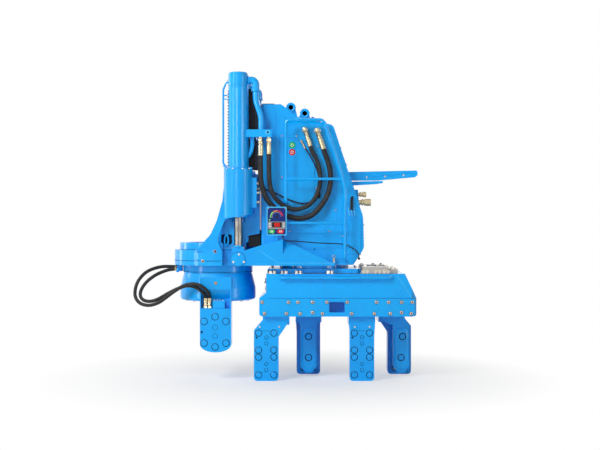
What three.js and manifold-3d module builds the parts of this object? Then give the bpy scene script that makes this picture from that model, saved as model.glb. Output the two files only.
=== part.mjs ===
// Press-in pile driver rig. It stands on four pile clamps under a saddle; a sliding,
// slewing mast carries a chuck frame that two upright cylinders raise and lower, and a
// turning chuck below the frame holds the pile.
// Units are millimetres. +Z is up, -X is forward (towards the chuck), -Y is the left side.
// The origin is on the ground, in the middle of the rig's footprint.

import * as THREE from 'three';
import { mergeVertices } from 'three/addons/utils/BufferGeometryUtils.js';
import Module from 'manifold-3d';

const wasm = await Module();
wasm.setup();

// ---------------------------------------------------------------- driving dimensions

const seatGap = 0.3;          // between pieces that touch
const runGap = 5;             // between pieces that move past each other

// Saddle, the long box on top of the clamps
const saddleFrontX = -308;
const saddleLength = 1345;
const saddleWidth = 700;
const saddleBottomZ = 555;
const saddleHeight = 364;
const saddleRailHeight = 60;
const saddleStopHeight = 37;
const saddlePlateHeight = 154;
const saddlePlateThickness = 12;
const windowLength = 133;
const windowHeight = 90;
const windowDepth = 70;
const windowRounding = 17;
const windowCentreX = 355;
const windowCentreZ = 635;

// Clamps: each has a wide leg with the jaw cylinder and a narrow fixed leg
const wideLegWidth = 211;
const wideLegOuterY = 300;
const wideLegThickness = 140;
const narrowLegWidth = 141;
const narrowLegThickness = 125;
const narrowLegBottomZ = 37;
const narrowLegTipWidth = 52;
const narrowLegTipHeight = 54;
const webSlotWidth = 65;
const webSlotTopZ = 480;
const neckWidth = 228;
const clampCornerRadius = 36;
const endClampLean = 84;      // an end clamp's leg stands this far out from its neck
const clamps = [
  { name: 'clamp_1', neckX: -164, lean: -endClampLean, wideSide: -1 },
  { name: 'clamp_2', neckX: 116, lean: 0, wideSide: 1 },
  { name: 'clamp_3', neckX: 571, lean: 0, wideSide: -1 },
  { name: 'clamp_4', neckX: 846, lean: endClampLean, wideSide: 1 },
];

// Moving jaw of a clamp
const clampJawWidth = 116;
const clampJawBottomZ = 35;
const clampJawHeight = 280;
const clampJawThickness = 30;
const clampPistonRadius = 46;
const clampPistonLength = 70;

// Slide base and slewing ring
const slideBaseFrontX = -233;
const slideBaseLength = 796;
const slideBaseWidth = 600;
const slideBaseHeight = 36;
const slewX = 165;
const slewRingRadius = 300;
const slewRingHeight = 27;
const stepBarRadius = 13;
const stepBarFrontX = -114;
const stepBarRearX = 810;
const stepBarZ = 886;
const stepBarReach = 34;      // the bar's middle stands this far out from the saddle

// Mast
const mastWidth = 570;
const mastBottomZ = 993;
const mastFrontX = -293;
const mastTopZ = 2370;
const lugRadius = 42;
const lugHoleRadius = 20;
const lugThickness = 40;
const lugY = 215;

// Mast arms, which carry the pins of the cylinder rods
const armInnerY = 312;
const armOuterY = 405;
const armBottomZ = 990;
const rodPinX = -484;
const rodPinZ = 1045;
const rodPinRadius = 30;
const pinGap = 0.4;
const rodCapRadius = 59;
const rodCapThickness = 8;
const armSlotWidth = 58;

// Main cylinders
const cylinderY = 360;
const rodRadius = 35;
const eyeThickness = 52;
const eyeWidth = 107;
const eyeTopZ = 1150;
const barrelRadius = 83;
const barrelBottomZ = 1400;
const barrelTopZ = 2634;
const barrelCapDepth = 85;
const rodEndDepth = 334;      // from the barrel's top to the rod's upper end
const rodTopZ = barrelTopZ - rodEndDepth;
const rodBoreGap = 4;
const sleeveRadius = 123;
const sleeveBottomZ = 1390;
const sleeveTopZ = 1808;

// Chuck frame
const chuckSaddleGap = 42;    // between the turning skirt and the saddle's front
const skirtRadius = 331;
const chuckX = saddleFrontX - chuckSaddleGap - skirtRadius;
const throatRadius = 262;
const deckRadius = 381;
const deckBottomZ = 988;
const deckTopZ = 1122;
const collarRadius = 334;
const collarTopZ = 1184;
const frameHalfWidth = 300;   // behind the round front the frame passes between the arms
const cheekThickness = 38;
const cheekTopZ = 1770;
const ribOuterY = 372;
const cheekFrontX = -619;
const cheekRearX = -305;
const backPlateThickness = 80;
const backPlateBottomZ = 1290;
const hoseLugReach = 354;     // from the chuck's axis forward to the lug's face
const hoseLugWidth = 84;

// Chuck
const neckRadius = 304;
const neckHeight = 65;
const skirtTopRadius = 299;
const skirtShoulderZ = 788;
const skirtBottomZ = 682;
const chuckBoreRadius = 250;
const tongueWidth = 268;
const tongueFrontY = 308;
const tongueBackY = 150;
const tongueBottomZ = 245;
const tongueTopZ = 888;
const pocketBottomZ = 621;
const pocketTopZ = 700;
const pocketDepth = 62;
const chuckJawWidth = 180;
const chuckJawHeight = 290;
const chuckJawBottomZ = 285;
const chuckJawThickness = 34;
const fixedJawY = 75;
const fixedJawWidth = 190;

// Handrail, indicator panel, hose hangers and hoses
const handrailRadius = 13.5;
const handrailY = 395;
const handrailFrontX = -80;
const handrailRearX = 421;
const handrailUpperRungZ = 1726;
const handrailLowerRungZ = 1352;
const rungShare = 0.8;        // a rung's radius beside the rail's
const panelWidth = 169;
const panelHeight = 242;
const panelDepth = 55;
const panelCentreX = -156;
const panelBottomZ = 1247;
const hangerTipX = 1062;
const hangerThickness = 60;
const hangerY = 120;
const couplingY = -170;
const mainHoseRadii = [22.5, 19];
const chuckHoseRadius = 15;
const hoseSides = 16;

// ---------------------------------------------------------------- shape helpers

function solidFrom(geometry) {
  const bare = geometry.clone();
  bare.deleteAttribute('normal');
  bare.deleteAttribute('uv');
  const merged = mergeVertices(bare, 1e-4);
  return new wasm.Manifold(new wasm.Mesh({
    numProp: 3,
    vertProperties: new Float32Array(merged.attributes.position.array),
    triVerts: new Uint32Array(merged.index.array),
  }));
}

function geometryFrom(solid) {
  const mesh = solid.getMesh();
  const geometry = new THREE.BufferGeometry();
  geometry.setAttribute('position', new THREE.BufferAttribute(mesh.vertProperties.slice(), 3));
  geometry.setIndex(new THREE.BufferAttribute(mesh.triVerts.slice(), 1));
  geometry.computeVertexNormals();
  return geometry;
}

function join(...solids) {
  return solids.reduce((whole, next) => whole.add(next));
}

function cut(body, ...tools) {
  return tools.reduce((whole, tool) => whole.subtract(tool), body);
}

// Box between two corners; the order of the two values in each pair is free
function block(xs, ys, zs) {
  const low = [xs, ys, zs].map((pair) => Math.min(...pair));
  const high = [xs, ys, zs].map((pair) => Math.max(...pair));
  const geometry = new THREE.BoxGeometry(high[0] - low[0], high[1] - low[1], high[2] - low[2]);
  geometry.translate(...low.map((value, i) => (value + high[i]) / 2));
  return solidFrom(geometry);
}

// Closed outline through corner points; a third value rounds a corner by that much
function shapeOf(corners) {
  const points = corners.map(([x, y]) => new THREE.Vector2(x, y));
  const shape = new THREE.Shape();
  corners.forEach(([, , rounding = 0], i) => {
    const corner = points[i];
    const before = points[(i + points.length - 1) % points.length];
    const after = points[(i + 1) % points.length];
    const enter = before.clone().sub(corner).setLength(rounding).add(corner);
    const leave = after.clone().sub(corner).setLength(rounding).add(corner);
    if (i === 0) shape.moveTo(enter.x, enter.y);
    else shape.lineTo(enter.x, enter.y);
    if (rounding > 0) shape.quadraticCurveTo(corner.x, corner.y, leave.x, leave.y);
  });
  return shape;
}

// Side outline (x, z) carried across from one y to another
function plate(shape, ys) {
  const low = Math.min(...ys);
  const high = Math.max(...ys);
  const options = { depth: high - low, bevelEnabled: false, curveSegments: 6 };
  const geometry = new THREE.ExtrudeGeometry(shape, options);
  geometry.rotateX(Math.PI / 2);
  geometry.translate(0, high, 0);
  return solidFrom(geometry);
}

// Cross outline (y, z) carried along x
function wedge(points, xs) {
  const depth = Math.abs(xs[1] - xs[0]);
  const geometry = new THREE.ExtrudeGeometry(shapeOf(points), { depth, bevelEnabled: false });
  geometry.rotateX(Math.PI / 2);
  geometry.rotateZ(Math.PI / 2);
  geometry.translate(Math.min(...xs), 0, 0);
  return solidFrom(geometry);
}

function roundZ(x, y, zs, radius, facets = 32) {
  const geometry = new THREE.CylinderGeometry(radius, radius, zs[1] - zs[0], facets);
  geometry.rotateX(Math.PI / 2);
  geometry.translate(x, y, (zs[0] + zs[1]) / 2);
  return solidFrom(geometry);
}

function roundY(x, z, ys, radius, facets = 24) {
  const geometry = new THREE.CylinderGeometry(radius, radius, Math.abs(ys[1] - ys[0]), facets);
  geometry.translate(x, (ys[0] + ys[1]) / 2, z);
  return solidFrom(geometry);
}

function roundX(y, z, xs, radius, facets = 20) {
  const geometry = new THREE.CylinderGeometry(radius, radius, xs[1] - xs[0], facets);
  geometry.rotateZ(Math.PI / 2);
  geometry.translate((xs[0] + xs[1]) / 2, y, z);
  return solidFrom(geometry);
}

// Turned body about an upright axis at x, y, from a profile of (radius, z) points that
// runs from the bottom of the axis, outwards and up, to the top of the axis
function turned(profile, x, y, facets = 40) {
  const points = profile.map(([radius, z]) => new THREE.Vector2(radius, z));
  const geometry = new THREE.LatheGeometry(points, facets);
  geometry.rotateX(Math.PI / 2);
  geometry.translate(x, y, 0);
  return solidFrom(geometry);
}

// Ground outline (x, y) carried up from one z to another
function slab(shape, zs) {
  const options = { depth: zs[1] - zs[0], bevelEnabled: false, curveSegments: 6 };
  const geometry = new THREE.ExtrudeGeometry(shape, options);
  geometry.translate(0, 0, zs[0]);
  return solidFrom(geometry);
}

// Route through a list of points, stepped from one point to the next
class SteppedRoute extends THREE.Curve {
  constructor(points) {
    super();
    this.points = points;
  }

  getPoint(t, target = new THREE.Vector3()) {
    const place = t * (this.points.length - 1);
    const index = Math.min(Math.floor(place), this.points.length - 2);
    return target.lerpVectors(this.points[index], this.points[index + 1], place - index);
  }

  getPointAt(t, target) {
    return this.getPoint(t, target);
  }

  getTangentAt(t, target) {
    return this.getTangent(t, target);
  }
}

// Straight runs between points, with a round bend at each point between the ends
function bentPath(points, bendLength) {
  const stepsInBend = 4;
  const stops = points.map((point) => new THREE.Vector3(...point));
  const route = [stops[0]];
  for (let i = 1; i < stops.length - 1; i += 1) {
    const corner = stops[i];
    const enter = stops[i - 1].clone().sub(corner).setLength(bendLength).add(corner);
    const leave = stops[i + 1].clone().sub(corner).setLength(bendLength).add(corner);
    route.push(...new THREE.QuadraticBezierCurve3(enter, corner, leave).getPoints(stepsInBend));
  }
  route.push(stops[stops.length - 1]);
  return new SteppedRoute(route);
}

function smoothPath(points) {
  return new THREE.CatmullRomCurve3(points.map((point) => new THREE.Vector3(...point)));
}

// Round bar, pipe or hose along a path
function tube(path, radius, steps, facets = 8) {
  const section = Array.from({ length: facets }, (_, i) => {
    const angle = (2 * Math.PI * i) / facets;
    return [radius * Math.cos(angle), radius * Math.sin(angle)];
  });
  const options = { steps, bevelEnabled: false, extrudePath: path };
  return solidFrom(new THREE.ExtrudeGeometry(shapeOf(section), options));
}

function bentTube(points, bendLength, radius, facets = 8) {
  const path = bentPath(points, bendLength);
  return tube(path, radius, path.points.length - 1, facets);
}

function straightTube(from, to, radius, facets = 16) {
  const path = new THREE.LineCurve3(new THREE.Vector3(...from), new THREE.Vector3(...to));
  return tube(path, radius, 1, facets);
}

// ---------------------------------------------------------------- finishes

function finish(colour, roughness, metalness) {
  return new THREE.MeshStandardMaterial({
    color: colour, roughness, metalness, flatShading: true,
  });
}

const bluePaint = 0x1296f0;
const darkBluePaint = 0x0b62bd;
const bareSteel = 0xb9bcc0;
const chrome = 0xe3e6ea;
const plating = 0xd8c79a;
const blackRubber = 0x17181a;
const navyPanel = 0x15246b;

function addPiece(body, name, solid, material) {
  const mesh = new THREE.Mesh(geometryFrom(solid), material);
  mesh.name = name;
  body.add(mesh);
  return mesh;
}

const sides = [
  { word: 'left', sign: -1 },
  { word: 'right', sign: 1 },
];

// ---------------------------------------------------------------- saddle

const saddleRearX = saddleFrontX + saddleLength;
const saddleTopZ = saddleBottomZ + saddleHeight;
const saddleCoreY = saddleWidth / 2 - saddlePlateThickness;
const saddlePlateTopZ = saddleBottomZ + saddlePlateHeight;
const saddleNoseSetback = 61;
const saddleNoseHeight = 203;
const saddleTailSlope = 101;
const saddleCornerRounding = 24;
const saddleCornerBevel = 42;

function saddleWindow(ys) {
  const xs = [windowCentreX - windowLength / 2, windowCentreX + windowLength / 2];
  const zs = [windowCentreZ - windowHeight / 2, windowCentreZ + windowHeight / 2];
  return plate(shapeOf([
    [xs[0], zs[0], windowRounding], [xs[1], zs[0], windowRounding],
    [xs[1], zs[1], windowRounding], [xs[0], zs[1], windowRounding],
  ]), ys);
}

function saddleBody() {
  const outline = shapeOf([
    [saddleFrontX, saddleBottomZ, saddleCornerRounding],
    [saddleRearX, saddleBottomZ, saddleCornerRounding],
    [saddleRearX, saddlePlateTopZ],
    [saddleRearX - saddleTailSlope, saddleTopZ],
    [saddleFrontX + saddleNoseSetback, saddleTopZ],
    [saddleFrontX + saddleNoseSetback, saddleBottomZ + saddleNoseHeight],
    [saddleFrontX, saddlePlateTopZ],
  ]);
  const bevel = saddleCornerBevel;
  const ground = shapeOf([
    [saddleFrontX + bevel, -saddleCoreY], [saddleRearX - bevel, -saddleCoreY],
    [saddleRearX, -saddleCoreY + bevel], [saddleRearX, saddleCoreY - bevel],
    [saddleRearX - bevel, saddleCoreY], [saddleFrontX + bevel, saddleCoreY],
    [saddleFrontX, saddleCoreY - bevel], [saddleFrontX, -saddleCoreY + bevel],
  ]);
  const box = plate(outline, [-saddleCoreY, saddleCoreY]);
  const trimmed = box.intersect(slab(ground, [saddleBottomZ - 1, saddleTopZ + 1]));
  const recesses = sides.map(({ sign }) => (
    saddleWindow([sign * (saddleCoreY - windowDepth), sign * (saddleCoreY + 1)])
  ));
  return cut(trimmed, ...recesses);
}

function saddlePlate(sign) {
  const inset = saddleCornerBevel / 2;
  const outline = shapeOf([
    [saddleFrontX + inset, saddleBottomZ, saddleCornerRounding],
    [saddleRearX - inset, saddleBottomZ, saddleCornerRounding],
    [saddleRearX - inset, saddlePlateTopZ], [saddleFrontX + inset, saddlePlateTopZ],
  ]);
  const ys = [sign * (saddleCoreY + seatGap), sign * (saddleWidth / 2)];
  return cut(plate(outline, ys), saddleWindow([ys[0] - sign, ys[1] + sign]));
}

function stepBar(sign) {
  const bendLength = 20;
  const wallY = sign * (saddleCoreY + seatGap);
  const barY = sign * (saddleCoreY + stepBarReach);
  return bentTube([
    [stepBarFrontX, wallY, stepBarZ], [stepBarFrontX, barY, stepBarZ],
    [stepBarRearX, barY, stepBarZ], [stepBarRearX, wallY, stepBarZ],
  ], bendLength, stepBarRadius);
}

function rearRail(sign) {
  const xs = [573, 796];
  const ys = [sign * 200, sign * 330];
  return block(xs, ys, [saddleTopZ + seatGap, saddleTopZ + saddleRailHeight]);
}

function rearStop() {
  const xs = [815, 882];
  const ys = [-250, 250];
  return block(xs, ys, [saddleTopZ + seatGap, saddleTopZ + saddleStopHeight]);
}

// ---------------------------------------------------------------- clamps

const wideLegInnerY = -wideLegOuterY + wideLegThickness;
const narrowLegInnerY = wideLegInnerY + webSlotWidth;
const narrowLegOuterY = narrowLegInnerY + narrowLegThickness;
const clampPistonZ = clampJawBottomZ + clampJawHeight / 2;
const pistonClearance = 2;

// Clamp with its wide leg on the left; x runs from the middle of its neck
function clampBody(lean) {
  const topZ = saddleBottomZ - seatGap;
  const halfNeck = neckWidth / 2;
  const halfWide = wideLegWidth / 2;
  const halfNarrow = narrowLegWidth / 2;
  const neckFrontZ = topZ - 31;
  const neckRearZ = topZ - 43;
  const narrowShoulderZ = topZ - 103;
  const bridgeInset = 20;
  const wideLeg = plate(shapeOf([
    [-halfNeck, topZ], [-halfNeck, neckFrontZ], [lean - halfWide, topZ - 122],
    [lean - halfWide, 0, clampCornerRadius], [lean + halfWide, 0, clampCornerRadius],
    [lean + halfWide, topZ - 178], [halfNeck, neckRearZ], [halfNeck, topZ],
  ]), [-wideLegOuterY, wideLegInnerY]);
  const narrowLeg = plate(shapeOf([
    [-halfNeck, topZ], [-halfNeck, neckFrontZ], [lean - halfNarrow, narrowShoulderZ],
    [lean - halfNarrow, narrowLegBottomZ + narrowLegTipHeight],
    [lean - narrowLegTipWidth / 2, narrowLegBottomZ],
    [lean + narrowLegTipWidth / 2, narrowLegBottomZ],
    [lean + halfNarrow, narrowLegBottomZ + narrowLegTipHeight],
    [lean + halfNarrow, narrowShoulderZ], [halfNeck, neckRearZ], [halfNeck, topZ],
  ]), [narrowLegInnerY, narrowLegOuterY]);
  const bridge = block(
    [-halfNeck, halfNeck],
    [-wideLegOuterY + bridgeInset, narrowLegOuterY - bridgeInset],
    [webSlotTopZ, topZ],
  );
  const halfPocket = clampJawWidth / 2 + runGap;
  const pocketBackY = wideLegInnerY - clampJawThickness - runGap;
  const jawPocket = block(
    [lean - halfPocket, lean + halfPocket],
    [pocketBackY, wideLegInnerY + 1],
    [clampJawBottomZ - runGap, clampJawBottomZ + clampJawHeight + runGap],
  );
  const pistonBore = roundY(
    lean, clampPistonZ, [pocketBackY - clampPistonLength, pocketBackY + 1],
    clampPistonRadius + pistonClearance,
  );
  return cut(join(wideLeg, bridge, narrowLeg), jawPocket, pistonBore);
}

// Hexagonal jaw pad with its piston, drawn back flush with the wide leg
function clampJaw(lean) {
  const half = clampJawWidth / 2;
  const point = 34;
  const bevel = 59;
  const topZ = clampJawBottomZ + clampJawHeight;
  const pad = plate(shapeOf([
    [lean - half, clampJawBottomZ + bevel], [lean - point, clampJawBottomZ],
    [lean + point, clampJawBottomZ], [lean + half, clampJawBottomZ + bevel],
    [lean + half, topZ - bevel], [lean + point, topZ],
    [lean - point, topZ], [lean - half, topZ - bevel],
  ]), [wideLegInnerY - clampJawThickness, wideLegInnerY]);
  const backY = wideLegInnerY - clampJawThickness;
  const pistonEndY = backY - clampPistonLength + runGap;
  return join(pad, roundY(lean, clampPistonZ, [pistonEndY, backY + 1], clampPistonRadius));
}

function addClamp(body, { name, neckX, lean, wideSide }) {
  const turn = wideSide < 0 ? 0 : Math.PI;
  const ownLean = wideSide < 0 ? lean : -lean;
  const frame = addPiece(body, name, clampBody(ownLean), paint());
  const jaw = addPiece(body, `${name}_jaw`, clampJaw(ownLean), finish(bareSteel, 0.45, 0.8));
  [frame, jaw].forEach((mesh) => {
    mesh.position.x = neckX;
    mesh.rotation.z = turn;
  });
}

// ---------------------------------------------------------------- slide base

const slideBaseBottomZ = saddleTopZ + runGap;
const slideBaseTopZ = slideBaseBottomZ + slideBaseHeight;

function slideBase() {
  const bevel = 30;
  const half = slideBaseWidth / 2;
  const rearX = slideBaseFrontX + slideBaseLength;
  return slab(shapeOf([
    [slideBaseFrontX + bevel, -half], [rearX - bevel, -half], [rearX, -half + bevel],
    [rearX, half - bevel], [rearX - bevel, half], [slideBaseFrontX + bevel, half],
    [slideBaseFrontX, half - bevel], [slideBaseFrontX, -half + bevel],
  ]), [slideBaseBottomZ, slideBaseTopZ]);
}

function slewRing() {
  const zs = [slideBaseTopZ + seatGap, slideBaseTopZ + slewRingHeight];
  return roundZ(slewX, 0, zs, slewRingRadius, 48);
}

// ---------------------------------------------------------------- mast

const mastHalfWidth = mastWidth / 2;
const columnDepth = 124;
const columnWidth = 120;
const columnRounding = 22;
const lugFrontX = -37;
const lugRearX = 82;
const columnRearX = mastFrontX + columnDepth;

// Top and rear of the mast's hood, from the front of its flat top down to its rear foot
const hoodOutline = [
  [-123, mastTopZ], [-88, mastTopZ - 24], [16, mastTopZ - 105], [326, mastTopZ - 178, 30],
  [448, 1815], [501, 1661], [533, 1555], [582, 1410, 30], [590, 1135, 30], [498, mastBottomZ],
];

function mastOutline() {
  const frontX = columnRearX + seatGap;
  return shapeOf([[frontX, mastBottomZ], [frontX, mastTopZ], ...hoodOutline]);
}

function liftingLug(x, z, sign) {
  const ys = [sign * (lugY - lugThickness / 2), sign * (lugY + lugThickness / 2)];
  const foot = plate(shapeOf([
    [x - lugRadius - 30, z - lugRadius - 40], [x + lugRadius + 20, z - lugRadius - 60],
    [x + lugRadius - 6, z], [x - lugRadius + 6, z],
  ]), ys);
  const eye = roundY(x, z, ys, lugRadius);
  return cut(join(foot, eye), roundY(x, z, [ys[0] - sign, ys[1] + sign], lugHoleRadius, 16));
}

function mastBody() {
  const lugs = sides.flatMap(({ sign }) => [
    liftingLug(lugFrontX, mastTopZ - 23, sign), liftingLug(lugRearX, mastTopZ - 74, sign),
  ]);
  return join(plate(mastOutline(), [-mastHalfWidth, mastHalfWidth]), ...lugs);
}

function mastColumn(sign) {
  const outerY = sign * mastHalfWidth;
  const innerY = sign * (mastHalfWidth - columnWidth);
  const ground = shapeOf([
    [mastFrontX, outerY, columnRounding], [columnRearX, outerY],
    [columnRearX, innerY], [mastFrontX, innerY],
  ]);
  return slab(ground, [mastBottomZ, mastTopZ]);
}

// Arm plate with a rounded nose about the rod pin, a slot for the rod's eye and a hump
// that slopes back to the mast
function mastArm(sign) {
  const noseRadius = rodPinZ - armBottomZ;
  const armRearX = 339;
  const aboveArmZ = 1300;
  const hump = { x: -104, z: 1212 };
  const shoulder = { x: -300, z: 1160 };
  const reach = Math.hypot(shoulder.x - rodPinX, shoulder.z - rodPinZ);
  const slope = Math.atan2(shoulder.z - rodPinZ, shoulder.x - rodPinX);
  const leaveAngle = slope + Math.acos(noseRadius / reach);
  const outline = new THREE.Shape();
  outline.moveTo(armRearX, armBottomZ);
  outline.lineTo(rodPinX, armBottomZ);
  outline.absarc(rodPinX, rodPinZ, noseRadius, -Math.PI / 2, leaveAngle - 2 * Math.PI, true);
  outline.lineTo(shoulder.x, shoulder.z);
  outline.lineTo(hump.x, hump.z);
  outline.lineTo(armRearX, armBottomZ + 12);
  const mastSideY = mastHalfWidth + seatGap;
  const arm = plate(outline, [sign * mastSideY, sign * armOuterY]);
  const inFront = block(
    [rodPinX - 100, mastFrontX - 12],
    [sign * (mastSideY - 1), sign * armInnerY],
    [armBottomZ - 1, aboveArmZ],
  );
  const slot = block(
    [rodPinX - 100, rodPinX + eyeWidth / 2 + 25],
    [sign * (cylinderY - armSlotWidth / 2), sign * (cylinderY + armSlotWidth / 2)],
    [armBottomZ - 30, aboveArmZ],
  );
  const pinHole = roundY(
    rodPinX, rodPinZ, [sign * (armInnerY - 5), sign * (armOuterY + 5)], rodPinRadius + pinGap,
  );
  const bevel = wedge([
    [sign * (armOuterY + 2), 1085], [sign * (armOuterY + 2), 1260], [sign * 300, 1260],
  ], [hump.x, armRearX + 6]);
  return cut(arm, inFront, slot, pinHole, bevel);
}

function rodPin(sign) {
  const capY = armOuterY + seatGap;
  const shank = roundY(
    rodPinX, rodPinZ, [sign * (armInnerY + 2), sign * (capY + 1)], rodPinRadius,
  );
  const cap = roundY(
    rodPinX, rodPinZ, [sign * capY, sign * (capY + rodCapThickness)], rodCapRadius, 32,
  );
  return join(shank, cap);
}

function cylinderRod(sign) {
  const y = sign * cylinderY;
  const ys = [y - eyeThickness / 2, y + eyeThickness / 2];
  const eye = block(
    [rodPinX - eyeWidth / 2, rodPinX + eyeWidth / 2], ys, [armBottomZ + 12, eyeTopZ],
  );
  const hole = roundY(rodPinX, rodPinZ, [ys[0] - 1, ys[1] + 1], rodPinRadius + pinGap);
  const rod = roundZ(rodPinX, y, [eyeTopZ - 1, rodTopZ], rodRadius, 32);
  return join(cut(eye, hole), rod);
}

// Arm behind the mast that a hose lies on, from its side outline
function hoseHanger(points) {
  const behindMast = plate(mastOutline(), [-mastHalfWidth, mastHalfWidth]);
  const ys = [-hangerY - hangerThickness / 2, -hangerY + hangerThickness / 2];
  return cut(plate(shapeOf(points), ys), behindMast.translate([seatGap, 0, 0]));
}

function upperHanger() {
  return hoseHanger([
    [400, 1719], [720, 1722], [hangerTipX - 20, 1750], [hangerTipX, 1768],
    [hangerTipX, 1800], [hangerTipX - 14, 1809], [400, 1794],
  ]);
}

function lowerHanger() {
  return hoseHanger([[400, 1672], [700, 1690], [762, 1700, 8], [762, 1718, 8], [400, 1710]]);
}

const rearCouplings = [
  { word: 'upper', z: 1600, nutEndX: 580, radius: 25 },
  { word: 'lower', z: 1533, nutEndX: 620, radius: 35 },
];

// Hexagonal nut with a round sleeve behind it; both start inside the mast's outline
function rearCoupling({ z, nutEndX, radius }) {
  const startX = 480;
  const sleeveLength = 40;
  const sleeveShare = 0.82;
  const behindMast = plate(mastOutline(), [-mastHalfWidth, mastHalfWidth]);
  const nut = roundX(couplingY, z, [startX, nutEndX], radius, 6);
  const end = roundX(couplingY, z, [startX, nutEndX + sleeveLength], radius * sleeveShare, 20);
  return cut(join(nut, end), behindMast.translate([seatGap, 0, 0]));
}

// Handrail in front of the hoses on the mast's left side
function handrail() {
  const frontX = handrailFrontX;
  const rearX = handrailRearX;
  const frontFootZ = 1530;
  const rearFootZ = 1040;
  const topZ = 2228;
  const bendLength = 42;
  const wallY = -mastHalfWidth - seatGap;
  const y = -handrailY;
  const rail = bentTube([
    [frontX, wallY, frontFootZ], [frontX, y, frontFootZ], [frontX, y, topZ], [243, y, topZ],
    [397, y, 1744], [rearX, y, 1648], [rearX, y, rearFootZ], [rearX, wallY, rearFootZ],
  ], bendLength, handrailRadius);
  const rungRadius = handrailRadius * rungShare;
  const panelEdgeX = panelCentreX + panelWidth / 2 + seatGap;
  const upperRung = roundX(y, handrailUpperRungZ, [frontX, rearX - 20], rungRadius, 8);
  const lowerRung = roundX(y, handrailLowerRungZ, [panelEdgeX, rearX], rungRadius, 8);
  return join(rail, upperRung, lowerRung);
}

const panelFrontY = -430;
const panelBackY = panelFrontY + panelDepth;

function indicatorPanel() {
  const half = panelWidth / 2;
  const topZ = panelBottomZ + panelHeight;
  const rounding = 8;
  return plate(shapeOf([
    [panelCentreX - half, panelBottomZ, rounding], [panelCentreX + half, panelBottomZ, rounding],
    [panelCentreX + half, topZ, rounding], [panelCentreX - half, topZ, rounding],
  ]), [panelFrontY, panelBackY]);
}

function panelStem() {
  const footZ = 1207;
  const stemRadius = 12;
  return roundZ(panelCentreX, -handrailY, [footZ, panelBottomZ - seatGap], stemRadius, 16);
}

// Manifold with two slanting fittings, where the main hoses end on the mast
function mastFittings() {
  const manifoldDepth = 62.7;
  const innerY = -mastHalfWidth - seatGap;
  const manifold = block([45, 225], [innerY, innerY - manifoldDepth], [2115, 2170]);
  const stubs = mastFittingStubs.map(({ from, to, radius }) => straightTube(from, to, radius));
  return join(manifold, ...stubs);
}

const mastFittingStubs = [
  { from: [242, -330, 1982], to: [189, -322, 2142], radius: 24 },
  { from: [129, -330, 2008], to: [82, -322, 2150], radius: 20 },
];

// ---------------------------------------------------------------- chuck frame

const barrelBoreTopZ = barrelTopZ - barrelCapDepth;

const wallSink = 12;          // the walls start this far inside the deck

// Region the frame may fill: round in front, narrow between the arms behind
function trimToArms(solid) {
  const flanks = sides.map(({ sign }) => block(
    [cheekFrontX, cheekFrontX + 2 * deckRadius],
    [sign * frameHalfWidth, sign * (deckRadius + 10)],
    [deckBottomZ - 10, collarTopZ + 10],
  ));
  return cut(solid, ...flanks);
}

function cheek(sign) {
  const ys = [sign * (frameHalfWidth - cheekThickness), sign * frameHalfWidth];
  const footZ = deckTopZ - wallSink;
  const footRearX = cheekFrontX + 200;
  const outline = shapeOf([
    [cheekFrontX - 24, footZ], [footRearX, footZ], [footRearX, 1240, 40],
    [cheekRearX, 1262], [cheekRearX, cheekTopZ], [cheekFrontX + 30, cheekTopZ],
    [cheekFrontX, 1400],
  ]);
  return plate(outline, ys);
}

// Rib that sweeps up from the deck to the sleeve
function frontRib(sign) {
  const topZ = cheekTopZ + 5;
  const inSleeveX = rodPinX - 16;
  const outline = shapeOf([
    [chuckX - 165, deckTopZ - wallSink], [chuckX - 95, 1193], [chuckX - 40, 1253, 20],
    [chuckX + 15, 1372, 20], [cheekFrontX, 1539], [cheekFrontX + 19, 1717],
    [cheekFrontX + 24, topZ], [inSleeveX, topZ], [inSleeveX, 1400],
    [cheekFrontX + 23, 1380, 20], [chuckX + 15, 1210, 40], [cheekFrontX, deckTopZ - wallSink],
  ]);
  return plate(outline, [sign * (frameHalfWidth - cheekThickness), sign * ribOuterY]);
}

function sleeve(sign) {
  const pipe = roundZ(rodPinX, sign * cylinderY, [sleeveBottomZ, sleeveTopZ], sleeveRadius, 40);
  const slantRise = 36;
  const reach = sleeveRadius + 5;
  const slant = plate(shapeOf([
    [rodPinX - reach, sleeveBottomZ - 5], [rodPinX + reach, sleeveBottomZ - 5],
    [rodPinX + reach, sleeveBottomZ + slantRise],
  ]), [sign * (cylinderY - reach), sign * (cylinderY + reach)]);
  const flangeReach = 34;
  const flange = block(
    [rodPinX + sleeveRadius - 30, rodPinX + sleeveRadius + flangeReach],
    [sign * (frameHalfWidth - 20), sign * 398],
    [1481, 1736],
  );
  return join(cut(pipe, slant), flange);
}

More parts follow.
